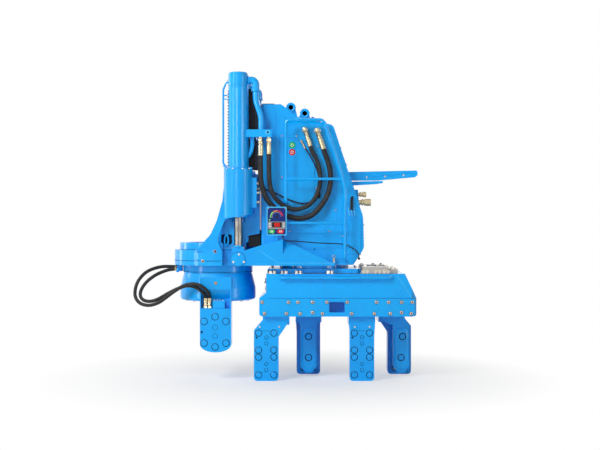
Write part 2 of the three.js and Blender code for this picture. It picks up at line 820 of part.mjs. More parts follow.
function chuckFrame() {
  const deck = join(
    roundZ(chuckX, 0, [deckBottomZ, deckTopZ], deckRadius, 64),
    block([cheekFrontX - 50, cheekRearX], [-frameHalfWidth, frameHalfWidth],
      [deckBottomZ, deckTopZ]),
  );
  const collar = roundZ(chuckX, 0, [deckTopZ - 5, collarTopZ], collarRadius, 56);
  const ring = trimToArms(join(deck, collar));
  const walls = sides.map(({ sign }) => join(cheek(sign), frontRib(sign), sleeve(sign)));
  const backPlate = block(
    [cheekRearX - backPlateThickness, cheekRearX],
    [-frameHalfWidth + 10, frameHalfWidth - 10],
    [backPlateBottomZ, cheekTopZ - 5],
  );
  const hoseLug = block(
    [chuckX - hoseLugReach, chuckX - neckRadius - runGap],
    [-hoseLugWidth / 2, hoseLugWidth / 2],
    [deckBottomZ - 58, deckBottomZ + 1],
  );
  const throat = roundZ(chuckX, 0, [deckBottomZ - 60, collarTopZ + 10], throatRadius, 48);
  const barrelBores = sides.map(({ sign }) => (
    roundZ(rodPinX, sign * cylinderY, [sleeveBottomZ - 30, sleeveTopZ + 10],
      barrelRadius + seatGap, 32)
  ));
  return cut(join(ring, ...walls, backPlate, hoseLug), throat, ...barrelBores);
}

function cylinderBarrel(sign) {
  const y = sign * cylinderY;
  const body = turned([
    [0, barrelBottomZ], [barrelRadius, barrelBottomZ], [barrelRadius, barrelTopZ - 27],
    [barrelRadius - 7, barrelTopZ - 9], [barrelRadius - 26, barrelTopZ], [0, barrelTopZ],
  ], rodPinX, y, 32);
  const bore = roundZ(rodPinX, y, [barrelBottomZ - 5, barrelBoreTopZ], rodRadius + rodBoreGap, 32);
  return cut(body, bore);
}

const bracketShare = 0.3293;  // the bracket's height on the bare barrel, from the sleeve up
const bracketHeight = 63;
const bracketInnerY = 345;
const pipeRadius = 25;
const crossPipeRadius = 20;
const guardRadius = 8.5;
const bracketBottomZ = sleeveTopZ + bracketShare * (barrelTopZ - sleeveTopZ);
const bracketTopZ = bracketBottomZ + bracketHeight;

// Plate on the barrel that carries the pipe and the hose fittings
function hoseBracket(sign) {
  const ys = [sign * bracketInnerY, sign * 410];
  const arm = block([rodPinX + 60, -197], ys, [bracketBottomZ, bracketTopZ]);
  const barrel = roundZ(rodPinX, sign * cylinderY, [bracketBottomZ - 5, bracketTopZ + 5],
    barrelRadius + seatGap, 32);
  return cut(arm, barrel);
}

// Pipe from the barrel's head down to the bracket, with one step sideways
function barrelPipe(sign) {
  const y = sign * cylinderY;
  const barrelX = rodPinX + barrelRadius + 1;
  const upperX = barrelX + 64;
  const lowerX = upperX + 47;
  const headZ = barrelTopZ - 69;
  const fall = headZ - bracketTopZ;
  const bendLength = 0.0853 * fall;
  const pipe = bentTube([
    [barrelX, y, headZ], [upperX, y, headZ], [upperX, y, headZ - 0.4123 * fall],
    [lowerX, y, headZ - 0.718 * fall], [lowerX, y, bracketTopZ + seatGap],
  ], bendLength, pipeRadius, 14);
  const collarTopZ = headZ - 0.142 * fall;
  const collarBottomZ = headZ - 0.225 * fall;
  const pipeCollar = roundZ(upperX, y, [collarBottomZ, collarTopZ], pipeRadius + 7, 20);
  return join(pipe, pipeCollar);
}

function crossPipe() {
  const endY = bracketInnerY - seatGap;
  const x = -350;
  const z = bracketBottomZ + 31;
  return roundY(x, z, [-endY, endY], crossPipeRadius, 16);
}

// Bar in front of the left barrel that guards its stroke sensor
function sensorGuard() {
  const y = -cylinderY;
  const barrelX = rodPinX - barrelRadius;
  const railX = barrelX - 45;
  const footX = railX + 21;
  const topZ = barrelTopZ - 87;
  const bendLength = 12;
  const rail = bentTube([
    [barrelX - seatGap, y, topZ], [railX + 26, y, topZ], [railX, y, topZ - 63],
    [railX, y, sleeveTopZ + 52], [footX, y, sleeveTopZ + 26], [footX, y, sleeveTopZ + seatGap],
  ], bendLength, guardRadius);
  const rung = roundX(y, topZ - 111, [railX, barrelX - 0.5], guardRadius - 2.5, 8);
  return join(rail, rung);
}

// Manifold under the bracket with the two fittings that the main hoses hang from
function bracketFittings() {
  const bottomZ = bracketBottomZ - 22;
  const manifold = block([-330, -200], [-402, -358], [bottomZ, bracketBottomZ - seatGap]);
  const stubs = mainHoses.map(({ points, radius, drop }) => {
    const [x, y] = points[0];
    return roundZ(x, y, [bracketBottomZ - drop, bottomZ + 2], radius + 3, 16);
  });
  return join(manifold, ...stubs);
}

// ---------------------------------------------------------------- chuck

const chuckTopZ = deckBottomZ - runGap;

function chuckSkirt() {
  return turned([
    [0, skirtBottomZ], [skirtRadius - 22, skirtBottomZ], [skirtRadius - 6, skirtBottomZ + 8],
    [skirtRadius, skirtBottomZ + 24], [skirtRadius, skirtShoulderZ],
    [skirtTopRadius, chuckTopZ - neckHeight],
    [neckRadius, chuckTopZ - neckHeight + 4], [neckRadius, chuckTopZ], [0, chuckTopZ],
  ], chuckX, 0, 64);
}

// Tongue that hangs from the skirt's left side, rounded at its foot
function chuckTongue() {
  const halfTongue = tongueWidth / 2;
  const topZ = skirtBottomZ + 20;
  const roundZs = 68;
  const outline = new THREE.Shape();
  outline.moveTo(chuckX + halfTongue, topZ);
  outline.lineTo(chuckX - halfTongue, topZ);
  outline.lineTo(chuckX - halfTongue, tongueBottomZ + roundZs);
  outline.absellipse(
    chuckX, tongueBottomZ + roundZs, halfTongue, roundZs, Math.PI, 2 * Math.PI,
  );
  return plate(outline, [-tongueFrontY, -tongueBackY]);
}

// Jaw block opposite the tongue, with its neck up to the skirt
function chuckFixedJaw() {
  const xs = [chuckX - fixedJawWidth / 2, chuckX + fixedJawWidth / 2];
  const jawTopZ = 560;
  const jaw = block(xs, [-fixedJawY, chuckBoreRadius + 20], [300, jawTopZ]);
  const neck = block(xs, [190, chuckBoreRadius + 40], [jawTopZ - 20, skirtBottomZ + 18]);
  return join(jaw, neck);
}

function chuckJawPocket() {
  const halfJaw = chuckJawWidth / 2 + runGap;
  const backY = -tongueBackY - chuckJawThickness - runGap;
  const pocket = block(
    [chuckX - halfJaw, chuckX + halfJaw],
    [backY, -tongueBackY + 1],
    [chuckJawBottomZ - runGap, chuckJawBottomZ + chuckJawHeight + runGap],
  );
  const ys = [backY - chuckPistonLength - runGap, backY + 1];
  const pistonBore = roundY(chuckX, chuckPistonZ, ys, chuckPistonRadius + pistonClearance, 28);
  return join(pocket, pistonBore);
}

function chuck() {
  const halfTongue = tongueWidth / 2;
  const panelXs = [chuckX - halfTongue, chuckX + halfTongue];
  const panelZs = [skirtBottomZ - 30, tongueTopZ];
  const panel = block(panelXs, [-tongueFrontY, -chuckBoreRadius], panelZs);
  const inFrontOfPanel = block(panelXs, [-skirtRadius - 10, -tongueFrontY], panelZs);
  const bore = roundZ(chuckX, 0, [tongueBottomZ - 10, chuckTopZ + 10], chuckBoreRadius, 48);
  const shell = cut(join(chuckSkirt(), panel), bore, inFrontOfPanel);
  const pocketSideWall = 9;
  const pocketSlope = 110;
  const beforeY = -tongueFrontY - 20;
  const pocketBackY = -tongueFrontY + pocketDepth;
  const upperPocket = wedge([
    [beforeY, pocketTopZ + pocketSlope], [beforeY, pocketBottomZ],
    [pocketBackY, pocketBottomZ], [pocketBackY, pocketTopZ],
  ], [chuckX - halfTongue + pocketSideWall, chuckX + halfTongue - pocketSideWall]);
  return cut(join(shell, chuckTongue(), chuckFixedJaw()), upperPocket, chuckJawPocket());
}

const chuckPistonRadius = 60;
const chuckPistonLength = 70;
const chuckPistonZ = chuckJawBottomZ + chuckJawHeight / 2;

function chuckJaw() {
  const half = chuckJawWidth / 2;
  const bevel = 30;
  const bottomZ = chuckJawBottomZ;
  const topZ = bottomZ + chuckJawHeight;
  const backY = -tongueBackY - chuckJawThickness;
  const pad = plate(shapeOf([
    [chuckX - half, bottomZ + bevel], [chuckX - half + bevel, bottomZ],
    [chuckX + half - bevel, bottomZ], [chuckX + half, bottomZ + bevel],
    [chuckX + half, topZ - bevel], [chuckX + half - bevel, topZ],
    [chuckX - half + bevel, topZ], [chuckX - half, topZ - bevel],
  ]), [backY, -tongueBackY]);
  const pistonYs = [backY - chuckPistonLength, backY + 1];
  return join(pad, roundY(chuckX, chuckPistonZ, pistonYs, chuckPistonRadius, 28));
}

// Block in the tongue's pocket with the two fittings of the chuck hoses
function chuckFittings() {
  const floorZ = pocketBottomZ + seatGap;
  const frontY = -tongueFrontY + 3;
  const baseHeight = 16;
  const valveHeight = 66;
  const base = block(
    [chuckX - 112, chuckX + 80], [frontY, frontY + 50], [floorZ, floorZ + baseHeight],
  );
  const valve = block(
    [chuckX - 22, chuckX + 66], [frontY + 1, frontY + 49], [floorZ, floorZ + valveHeight],
  );
  const stubs = chuckHoses.map(({ points }) => {
    const [x, y, z] = points[points.length - 1];
    return roundZ(x, y, [floorZ + 10, z - 2], chuckHoseRadius - 3, 12);
  });
  return join(base, valve, ...stubs);
}

// ---------------------------------------------------------------- hoses

// The two hoses that feed the cylinders, from the bracket down and up to the mast; drop is
// how far below the bracket a hose starts
const mainHoses = [
  {
    name: 'main_hose_outer',
    radius: mainHoseRadii[0],
    drop: 153.7,
    points: [
      [-295, -380, 1926], [-294, -380, 1820], [-288, -376, 1690], [-251, -362, 1572],
      [-190, -345, 1492], [-110, -342, 1430], [-20, -340, 1398], [60, -340, 1392],
      [145, -340, 1420], [224, -338, 1502], [285, -336, 1615], [302, -334, 1744],
      [285, -332, 1856], [254, -331, 1945], [243, -330, 1979],
    ],
  },
  {
    name: 'main_hose_inner',
    radius: mainHoseRadii[1],
    drop: 141.7,
    points: [
      [-223, -380, 1938], [-222, -380, 1830], [-215, -376, 1690], [-182, -364, 1582],
      [-110, -348, 1508], [-46, -342, 1476], [20, -340, 1468], [110, -340, 1500],
      [172, -338, 1570], [206, -336, 1665], [212, -334, 1770], [186, -332, 1880],
      [146, -331, 1957], [129.9, -330, 2005.2],
    ],
  },
];

// The two hoses that loop out in front of the rig and down to the turning chuck
const chuckHoses = [
  {
    name: 'chuck_hose_outer',
    points: [
      [-1037, 20, 966], [-1090, 19, 968], [-1172, 0, 968], [-1250, -25, 950],
      [-1316, -58, 915], [-1370, -95, 850], [-1392, -130, 780], [-1386, -170, 712],
      [-1342, -212, 662], [-1263, -252, 644], [-1175, -290, 668], [-1100, -312, 718],
      [-1041, -324, 762], [-946, -345, 819], [-851, -368, 834], [-782, -372, 806],
      [-742, -347, 762], [-735, -306, 738], [-734, -291, 718], [-734, -290, 704],
    ],
  },
  {
    name: 'chuck_hose_inner',
    points: [
      [-1037, -20, 948], [-1080, -22, 946], [-1138, -36, 934], [-1225, -68, 896],
      [-1300, -98, 836], [-1342, -130, 768], [-1342, -165, 716], [-1308, -196, 684],
      [-1250, -222, 677], [-1180, -248, 698], [-1093, -274, 747], [-997, -298, 794],
      [-911, -321, 816], [-835, -338, 798], [-788, -330, 760], [-771, -306, 738], [-769, -291, 718],
      [-769, -290, 704],
    ],
  },
];

function hose(points, radius) {
  const path = smoothPath(points);
  const stepLength = 2 * radius;
  const steps = Math.round(path.getLength() / stepLength);
  return tube(path, radius, steps, hoseSides);
}

// ---------------------------------------------------------------- assembly

function paint() {
  return finish(bluePaint, 0.35, 0.1);
}

function platedSteel() {
  return finish(plating, 0.3, 0.9);
}

function rubber() {
  return finish(blackRubber, 0.6, 0);
}

function addSaddle(body) {
  addPiece(body, 'saddle', saddleBody(), paint());
  sides.forEach(({ word, sign }) => {
    addPiece(body, `saddle_plate_${word}`, saddlePlate(sign), paint());
    addPiece(body, `step_bar_${word}`, stepBar(sign), paint());
    addPiece(body, `rear_rail_${word}`, rearRail(sign), finish(bareSteel, 0.5, 0.8));
  });
  addPiece(body, 'rear_stop', rearStop(), finish(bareSteel, 0.5, 0.8));
  clamps.forEach((clamp) => addClamp(body, clamp));
}

function addSlideBase(body) {
  addPiece(body, 'slide_base', slideBase(), finish(darkBluePaint, 0.45, 0.2));
  addPiece(body, 'slew_ring', slewRing(), finish(darkBluePaint, 0.5, 0.4));
}

function addMast(body) {
  addPiece(body, 'mast', mastBody(), paint());
  sides.forEach(({ word, sign }) => {
    addPiece(body, `mast_column_${word}`, mastColumn(sign), paint());
    addPiece(body, `mast_arm_${word}`, mastArm(sign), paint());
    addPiece(body, `rod_pin_${word}`, rodPin(sign), paint());
    addPiece(body, `cylinder_rod_${word}`, cylinderRod(sign), finish(chrome, 0.15, 1));
  });
  addPiece(body, 'hose_hanger_upper', upperHanger(), paint());
  addPiece(body, 'hose_hanger_lower', lowerHanger(), paint());
  rearCouplings.forEach((coupling) => (
    addPiece(body, `rear_coupling_${coupling.word}`, rearCoupling(coupling), platedSteel())
  ));
  addPiece(body, 'handrail', handrail(), paint());
  addPiece(body, 'indicator_panel', indicatorPanel(), finish(navyPanel, 0.4, 0.1));
  addPiece(body, 'panel_stem', panelStem(), paint());
  addPiece(body, 'mast_fittings', mastFittings(), platedSteel());
}

function addChuckFrame(body) {
  addPiece(body, 'chuck_frame', chuckFrame(), paint());
  sides.forEach(({ word, sign }) => {
    addPiece(body, `cylinder_barrel_${word}`, cylinderBarrel(sign), paint());
    addPiece(body, `hose_bracket_${word}`, hoseBracket(sign), paint());
    addPiece(body, `barrel_pipe_${word}`, barrelPipe(sign), paint());
  });
  addPiece(body, 'cross_pipe', crossPipe(), paint());
  addPiece(body, 'sensor_guard', sensorGuard(), paint());
  addPiece(body, 'bracket_fittings', bracketFittings(), platedSteel());
  mainHoses.forEach(({ name, points, radius }) => (
    addPiece(body, name, hose(points, radius), rubber())
  ));
  chuckHoses.forEach(({ name, points }) => (
    addPiece(body, name, hose(points, chuckHoseRadius), rubber())
  ));
}

function addChuck(body) {
  addPiece(body, 'chuck', chuck(), paint());
  addPiece(body, 'chuck_jaw', chuckJaw(), finish(bareSteel, 0.45, 0.8));
  addPiece(body, 'chuck_fittings', chuckFittings(), platedSteel());
}

const pileDriver = new THREE.Group();
[addSaddle, addSlideBase, addMast, addChuckFrame, addChuck].forEach((addBody) => {
  const body = new THREE.Group();
  addBody(body);
  pileDriver.add(body);
});

export default pileDriver;
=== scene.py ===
"""Looks of the press-in pile driver rig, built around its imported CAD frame. In metres, apart from mm()."""

import math
import random

import bmesh
import bpy
from mathutils import Matrix, Vector
from mathutils.bvhtree import BVHTree


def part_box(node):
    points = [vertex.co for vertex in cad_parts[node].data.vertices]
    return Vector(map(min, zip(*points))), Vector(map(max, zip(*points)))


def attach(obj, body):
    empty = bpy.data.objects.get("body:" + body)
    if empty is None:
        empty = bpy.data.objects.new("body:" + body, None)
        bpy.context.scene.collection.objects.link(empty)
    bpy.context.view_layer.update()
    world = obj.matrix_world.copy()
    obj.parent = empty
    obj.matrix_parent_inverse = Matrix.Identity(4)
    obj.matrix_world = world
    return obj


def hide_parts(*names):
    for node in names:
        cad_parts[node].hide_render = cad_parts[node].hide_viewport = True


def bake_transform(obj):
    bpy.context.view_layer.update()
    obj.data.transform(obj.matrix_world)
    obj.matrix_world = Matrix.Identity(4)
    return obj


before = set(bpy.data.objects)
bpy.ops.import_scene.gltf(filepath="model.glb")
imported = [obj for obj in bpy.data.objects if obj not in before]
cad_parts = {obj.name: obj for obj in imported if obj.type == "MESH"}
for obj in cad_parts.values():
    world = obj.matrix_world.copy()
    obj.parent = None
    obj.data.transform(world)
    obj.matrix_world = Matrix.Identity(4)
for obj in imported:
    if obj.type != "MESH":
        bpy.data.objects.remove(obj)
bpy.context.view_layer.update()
random.seed(11)
scene = bpy.context.scene

# ---------------------------------------------------------------- camera

CAMERA_PLACE = (0.041, -10.0, 1.335)
CAMERA_LENS = 68.03

camera_data = bpy.data.cameras.new("camera")
camera_data.lens = CAMERA_LENS
camera_data.sensor_width = 36
camera = bpy.data.objects.new("camera", camera_data)
camera.location = CAMERA_PLACE
camera.rotation_euler = (math.pi / 2, 0, 0)
scene.collection.objects.link(camera)
scene.camera = camera

# ---------------------------------------------------------------- materials


class Nodes:
    """A short way to write a node tree."""

    def __init__(self, tree):
        self.tree = tree

    def plug(self, socket, value):
        """Links a socket to another one, or sets its value; colours are given without alpha."""
        if isinstance(value, bpy.types.NodeSocket):
            self.tree.links.new(value, socket)
        else:
            socket.default_value = (*value, 1) if socket.type == "RGBA" else value

    def fill(self, node, **inputs):
        """Fills a node's inputs, with _ for the spaces in their names."""
        for key, value in inputs.items():
            self.plug(node.inputs[key.replace("_", " ")], value)
        return node

    def add(self, kind, **inputs):
        return self.fill(self.tree.nodes.new(kind), **inputs)

    def math(self, operation, first, second=0.0):
        node = self.add("ShaderNodeMath")
        node.operation = operation
        self.plug(node.inputs[0], first)
        self.plug(node.inputs[1], second)
        return node.outputs["Value"]

    def seen(self, rays):
        """One for what the camera sees directly, in a reflection or through something."""
        seen = self.math("MAXIMUM", rays.outputs["Is Camera Ray"], rays.outputs["Is Glossy Ray"])
        return self.math("MAXIMUM", seen, rays.outputs["Is Transmission Ray"])

    def mix_out(self, output, amount, first, second):
        """Ends the tree with a mix of two shaders."""
        mix = self.add("ShaderNodeMixShader", Fac=amount)
        self.plug(mix.inputs[1], first.outputs[0])
        self.plug(mix.inputs[2], second.outputs[0])
        self.plug(self.tree.nodes[output].inputs["Surface"], mix.outputs[0])


class Look(Nodes):
    """A material's node tree, with the patterns that its colours are made of."""

    def __init__(self, name):
        self.material = bpy.data.materials.new(name)
        self.material.use_nodes = True
        super().__init__(self.material.node_tree)
        self.shader = self.tree.nodes["Principled BSDF"]
        self.place = self.add("ShaderNodeTexCoord").outputs["Object"]

    def stretched(self, scale):
        return self.add("ShaderNodeMapping", Vector=self.place, Scale=scale).outputs["Vector"]

    def noise(self, scale, detail=4.0, rough=0.55, place=None):
        place = place or self.place
        return self.add("ShaderNodeTexNoise", Vector=place, Scale=scale, Detail=detail,
                        Roughness=rough).outputs["Fac"]

    def ramp(self, value, low, high, start=0.0, end=1.0):
        node = self.add("ShaderNodeMapRange", Value=value, From_Min=low, From_Max=high, To_Min=start,
                        To_Max=end)
        return node.outputs["Result"]

    def blend(self, amount, first, second):
        node = self.add("ShaderNodeMix")
        node.data_type = "RGBA"
        for index, value in ((0, amount), (6, first), (7, second)):
            self.plug(node.inputs[index], value)
        return node.outputs[2]

    def facing_up(self):
        normal = self.add("ShaderNodeNewGeometry").outputs["Normal"]
        return self.add("ShaderNodeSeparateXYZ", Vector=normal).outputs["Z"]

    def bump(self, value, strength, distance):
        node = self.add("ShaderNodeBump", Height=value, Strength=strength, Distance=distance)
        self.fill(self.shader, Normal=node.outputs["Normal"])


def paint(name, base, shade, rough, dusty, chips):
    """Thick enamel: slow shade drift, spray texture, dust on upward faces, small chips and rub marks."""
    n = Look(name)
    drift = n.ramp(n.noise(1.7, 3.0), 0.35, 0.68)
    colour = n.blend(n.math("MULTIPLY", drift, 0.45), base, shade)
    upward = n.ramp(n.facing_up(), 0.55, 0.95)
    film = n.math("MULTIPLY", n.ramp(n.noise(7.5, 6.0), 0.42, 0.75), upward)
    colour = n.blend(n.math("MULTIPLY", film, dusty), colour, (0.42, 0.5, 0.52))
    streak = n.ramp(n.noise(9.0, 5.0, 0.6, n.stretched((2.2, 2.2, 0.16))), 0.6, 0.82)
    colour = n.blend(n.math("MULTIPLY", streak, 0.16), colour, (0.02, 0.16, 0.33))
    spots = n.ramp(n.noise(85.0, 3.0, 0.5), 0.735, 0.76)
    patches = n.ramp(n.noise(4.0, 2.0), 0.56, 0.64)
    chipped = n.math("MULTIPLY", n.math("MULTIPLY", spots, patches), chips)
    colour = n.blend(chipped, colour, (0.19, 0.2, 0.21))
    worn = n.ramp(n.noise(5.0, 7.0, 0.65), 0.3, 0.75, rough - 0.06, rough + 0.16)
    n.fill(n.shader, Base_Color=colour, Roughness=worn, Specular_IOR_Level=0.16, Coat_Weight=0.75,
           Coat_Roughness=0.11, Coat_IOR=1.34)
    skin = n.math("ADD", n.noise(210.0, 2.0), n.math("MULTIPLY", n.noise(16.0, 3.0), 1.6))
    n.bump(n.math("SUBTRACT", skin, n.math("MULTIPLY", chipped, 1.4)), 0.16, 0.0014)
    return n.material


def metal(name, base, dark, rough, grain, lay, depth=0.12):
    """Machined or plated metal with tool marks along one direction and oily patches."""
    n = Look(name)
    marks = n.noise(grain, 5.0, 0.6, n.stretched(lay))
    patch = n.ramp(n.noise(11.0, 5.0), 0.4, 0.7)
    colour = n.blend(n.math("MULTIPLY", patch, 0.5), base, dark)
    colour = n.blend(n.math("MULTIPLY", n.ramp(marks, 0.35, 0.7), 0.35), colour, dark)
    worn = n.ramp(n.math("ADD", marks, patch), 0.3, 1.5, rough - 0.07, rough + 0.15)
    n.fill(n.shader, Base_Color=colour, Roughness=worn, Metallic=1.0)
    n.bump(marks, depth, 0.0006)
    return n.material


def rubber(name, base, rough):
    """Wrapped hose cover: cloth-wrap weave, dust on the upper side, scuffs."""
    n = Look(name)
    wrap = n.add("ShaderNodeTexWave", Vector=n.place, Scale=95.0, Distortion=3.0, Detail=2.0)
    scuff = n.ramp(n.noise(26.0, 6.0, 0.65), 0.52, 0.78)
    upward = n.ramp(n.facing_up(), 0.3, 1.0)
    colour = n.blend(n.math("MULTIPLY", scuff, 0.5), base, (0.09, 0.088, 0.085))
    dust = n.math("MULTIPLY", upward, n.ramp(n.noise(9.0, 4.0), 0.45, 0.8, 0.0, 0.35))
    colour = n.blend(dust, colour, (0.2, 0.19, 0.175))
    worn = n.ramp(scuff, 0.0, 1.0, rough, rough + 0.22)
    n.fill(n.shader, Base_Color=colour, Roughness=worn, Specular_IOR_Level=0.2)
    n.bump(n.math("ADD", n.math("MULTIPLY", wrap.outputs["Fac"], 0.5), n.noise(120.0, 3.0)), 0.3, 0.0011)
    return n.material


def enamel(name, base, rough=0.3, glow=0.0):
    """Small printed or moulded face with a faint grain, scratches and yellowing."""
    n = Look(name)
    scratch = n.ramp(n.noise(60.0, 6.0, 0.7, n.stretched((1.0, 1.0, 6.0))), 0.6, 0.72)
    aged = n.ramp(n.noise(14.0, 4.0), 0.4, 0.7)
    colour = n.blend(n.math("MULTIPLY", aged, 0.18), base, tuple(c * 0.7 + 0.03 for c in base))
    colour = n.blend(n.math("MULTIPLY", scratch, 0.22), colour, tuple(min(1.0, c + 0.2) for c in base))
    worn = n.ramp(scratch, 0.0, 1.0, rough, rough + 0.25)
    n.fill(n.shader, Base_Color=colour, Roughness=worn, Specular_IOR_Level=0.12)
    if glow:
        n.fill(n.shader, Emission_Color=colour, Emission_Strength=glow)
    n.bump(n.noise(240.0, 2.0), 0.08, 0.0005)
    return n.material


SKY = (0.0, 0.425, 0.97)
SKY_SHADE = (0.0, 0.335, 0.88)
BLUE = paint("blue_enamel", SKY, SKY_SHADE, 0.27, 0.22, 0.85)
CAST_BLUE = paint("blue_casting_enamel", (0.0, 0.405, 0.95), (0.0, 0.285, 0.82), 0.33, 0.28, 0.95)
# The deep blue is painted shade on the floor of the saddle's window; it is also the look listed for the
# imported dark blue slot.
DARK_BLUE = paint("deep_blue_enamel_and_shade", (0.002, 0.2, 0.62), (0.0, 0.12, 0.42), 0.42, 0.35, 1.0)
# The light blue is a lighter copy of the blue paint: a painted highlight on the saddle's and arms' ridge
# lines and on the mast's louvres; the bracket eyes' rims and the panel housing are in it too.
PALE_BLUE = paint("light_blue_enamel_and_highlight", (0.09, 0.6, 1.0), (0.03, 0.48, 0.93), 0.25, 0.15, 0.5)
STEEL = metal("bare_steel", (0.47, 0.46, 0.44), (0.25, 0.24, 0.23), 0.33, 60.0, (1.0, 1.0, 7.0))
BOLT = metal("bolt_steel", (0.74, 0.69, 0.6), (0.4, 0.35, 0.29), 0.3, 120.0, (1.0, 1.0, 1.0))
SCREW = metal("screw_steel", (0.62, 0.58, 0.53), (0.32, 0.3, 0.27), 0.34, 120.0, (1.0, 1.0, 1.0))
CHROME = metal("hard_chrome", (0.23, 0.222, 0.205), (0.17, 0.165, 0.155), 0.3, 24.0, (1.0, 1.0, 0.4),
               depth=0.015)
ZINC = metal("yellow_zinc", (0.6, 0.53, 0.37), (0.42, 0.31, 0.14), 0.27, 90.0, (1.0, 1.0, 5.0))
BRONZE = metal("bronze_plug", (0.62, 0.4, 0.19), (0.3, 0.17, 0.07), 0.35, 90.0, (1.0, 1.0, 1.0))
RUBBER = rubber("hose_cover", (0.021, 0.021, 0.022), 0.42)
BLACK = rubber("black_plastic", (0.012, 0.012, 0.013), 0.5)
NAVY = enamel("navy_film", (0.012, 0.03, 0.19), 0.25)
GREY = enamel("grey_bezel", (0.3, 0.3, 0.31), 0.35)
GREEN = enamel("green_key", (0.02, 0.5, 0.12), 0.3)
RED = enamel("red_key", (0.75, 0.025, 0.025), 0.3)
ORANGE = enamel("orange_band", (0.95, 0.28, 0.03), 0.3)
LIME = enamel("lime_band", (0.28, 0.8, 0.12), 0.3)
LAMP = enamel("red_display", (0.7, 0.01, 0.01), 0.2, 0.6)
CREAM = enamel("pale_mark", (0.85, 0.86, 0.84), 0.35)
# This near-black blue, without a coat, is painted shade: it is laid in seams, pin gaps, bores, screw sockets,
# creases, pockets and the slewing ring's joint, where shade falls.
GAP_SHADE = paint("seam_shadow", (0.0, 0.012, 0.06), (0.0, 0.006, 0.035), 0.7, 0.05, 0.1)
GAP_SHADE.node_tree.nodes["Principled BSDF"].inputs["Coat Weight"].default_value = 0.0
USUAL_SLOTS = {
    "blue_paint": (BLUE, CAST_BLUE, DARK_BLUE, PALE_BLUE, GAP_SHADE),
    "bare_steel": (STEEL, BOLT, SCREW),
    "plated_fitting": (ZINC, BRONZE),
    "hose_rubber": (RUBBER, BLACK),
    "indicator_face": (NAVY, GREY, GREEN, RED, ORANGE, LIME, LAMP, CREAM)}


# ---------------------------------------------------------------- shape tools

NEAR = -1
FAR = 1
SIDES = (("left", NEAR), ("right", FAR))
UP, DOWN = (0, 0, 1), (0, 0, -1)
FORWARD, BACK = (-1, 0, 0), (1, 0, 0)
NEARWARD = (0, -1, 0)
HEX = 6


def mm(*pairs):
    """Turned profile of (radius, distance) pairs, given in millimetres."""
    return [(radius / 1000, distance / 1000) for radius, distance in pairs]


def shares(radius, *pairs):
    """Turned profile of (share of one radius, distance in metres) pairs."""
    return [(radius * share, distance) for share, distance in pairs]


class Shape:
    """Gathers solids in one mesh and turns it into a piece that rides on a body."""

    def __init__(self):
        self.mesh = bmesh.new()

    def _round(self, sides, turn, place):
        """A ring of new points; place says where a pair of cosine and sine belongs."""
        swings = [turn + 2 * math.pi * step / sides for step in range(sides)]
        return [self.mesh.verts.new(place(math.cos(swing), math.sin(swing))) for swing in swings]

    def _skin(self, rings):
        """Walls between rings that follow each other, with closed ends."""
        for low, high in zip(rings, rings[1:]):
            for step in range(max(len(low), len(high))):
                corners = [low[step % len(low)], low[(step + 1) % len(low)],
                           high[(step + 1) % len(high)], high[step % len(high)]]
                corners = [v for i, v in enumerate(corners) if v not in corners[:i]]
                if len(corners) > 2:
                    self.mesh.faces.new(corners)
        for end in (rings[0][::-1], rings[-1]):
            if len(end) > 2:
                self.mesh.faces.new(end)
        return self

    def lathe(self, place, axis, profile, sides=24, turn=0.0):
        """Turns a profile of (radius, distance) pairs about an axis through place."""
        place = Vector(place)
        tilt = Vector(axis).normalized().to_track_quat("Z", "Y").to_matrix()
        rings = []
        for radius, distance in profile:
            count = sides if radius > 0 else 1
            rings.append(self._round(
                count, turn, lambda c, s: place + tilt @ Vector((radius * c, radius * s, distance))))
        return self._skin(rings)

    def tube(self, path, radius, sides=12):
        """Sweeps a round section along points."""
        path = [Vector(p) for p in path]
        last = len(path) - 1
        rings = []
        side = None
        for index, point in enumerate(path):
            forward = (path[min(index + 1, last)] - path[max(index - 1, 0)]).normalized()
            side = side or forward.orthogonal().normalized()
            side = (side - forward * side.dot(forward)).normalized()
            up = forward.cross(side)
            rings.append(self._round(sides, 0.0, lambda c, s: point + (side * c + up * s) * radius))
        return self._skin(rings)

    def prism(self, outline, near, far, axis="Y", far_outline=None):
        """Extrudes an outline along an axis, or tapers it to far_outline."""
        index = "XYZ".index(axis)
        return self._skin([[self.mesh.verts.new((*p[:index], w, *p[index:])) for p in line]
                           for line, w in ((outline, near), (far_outline or outline, far))])

    def strip(self, outer, inner, near, far):
        """Extrudes the band between two outlines of equal length across Y."""
        rings = [[self.mesh.verts.new((p[0], w, p[1])) for p in line]
                 for line, w in ((outer, near), (inner, near), (inner, far), (outer, far))]
        for one, two in zip(rings, rings[1:] + rings[:1]):
            for step in range(len(outer)):
                after = (step + 1) % len(outer)
                self.mesh.faces.new((one[step], one[after], two[after], two[step]))
        return self

    def piece(self, name, material, body, bevel=0.0, angle=32.0, slot=None):
        """Ends the shape as a piece on a body. It works out a slot, its material's usual one unless another
        is given, but does not use it.
        """
        bmesh.ops.recalc_face_normals(self.mesh, faces=self.mesh.faces)
        data = bpy.data.meshes.new(name)
        self.mesh.to_mesh(data)
        self.mesh.free()
        made = bpy.data.objects.new(name, data)
        scene.collection.objects.link(made)
        made.data.materials.append(material)
        soften(made, bevel, angle)
        if body:
            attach(made, body)
        slot = slot or next((usual for usual, looks in USUAL_SLOTS.items() if material in looks), None)
        return made


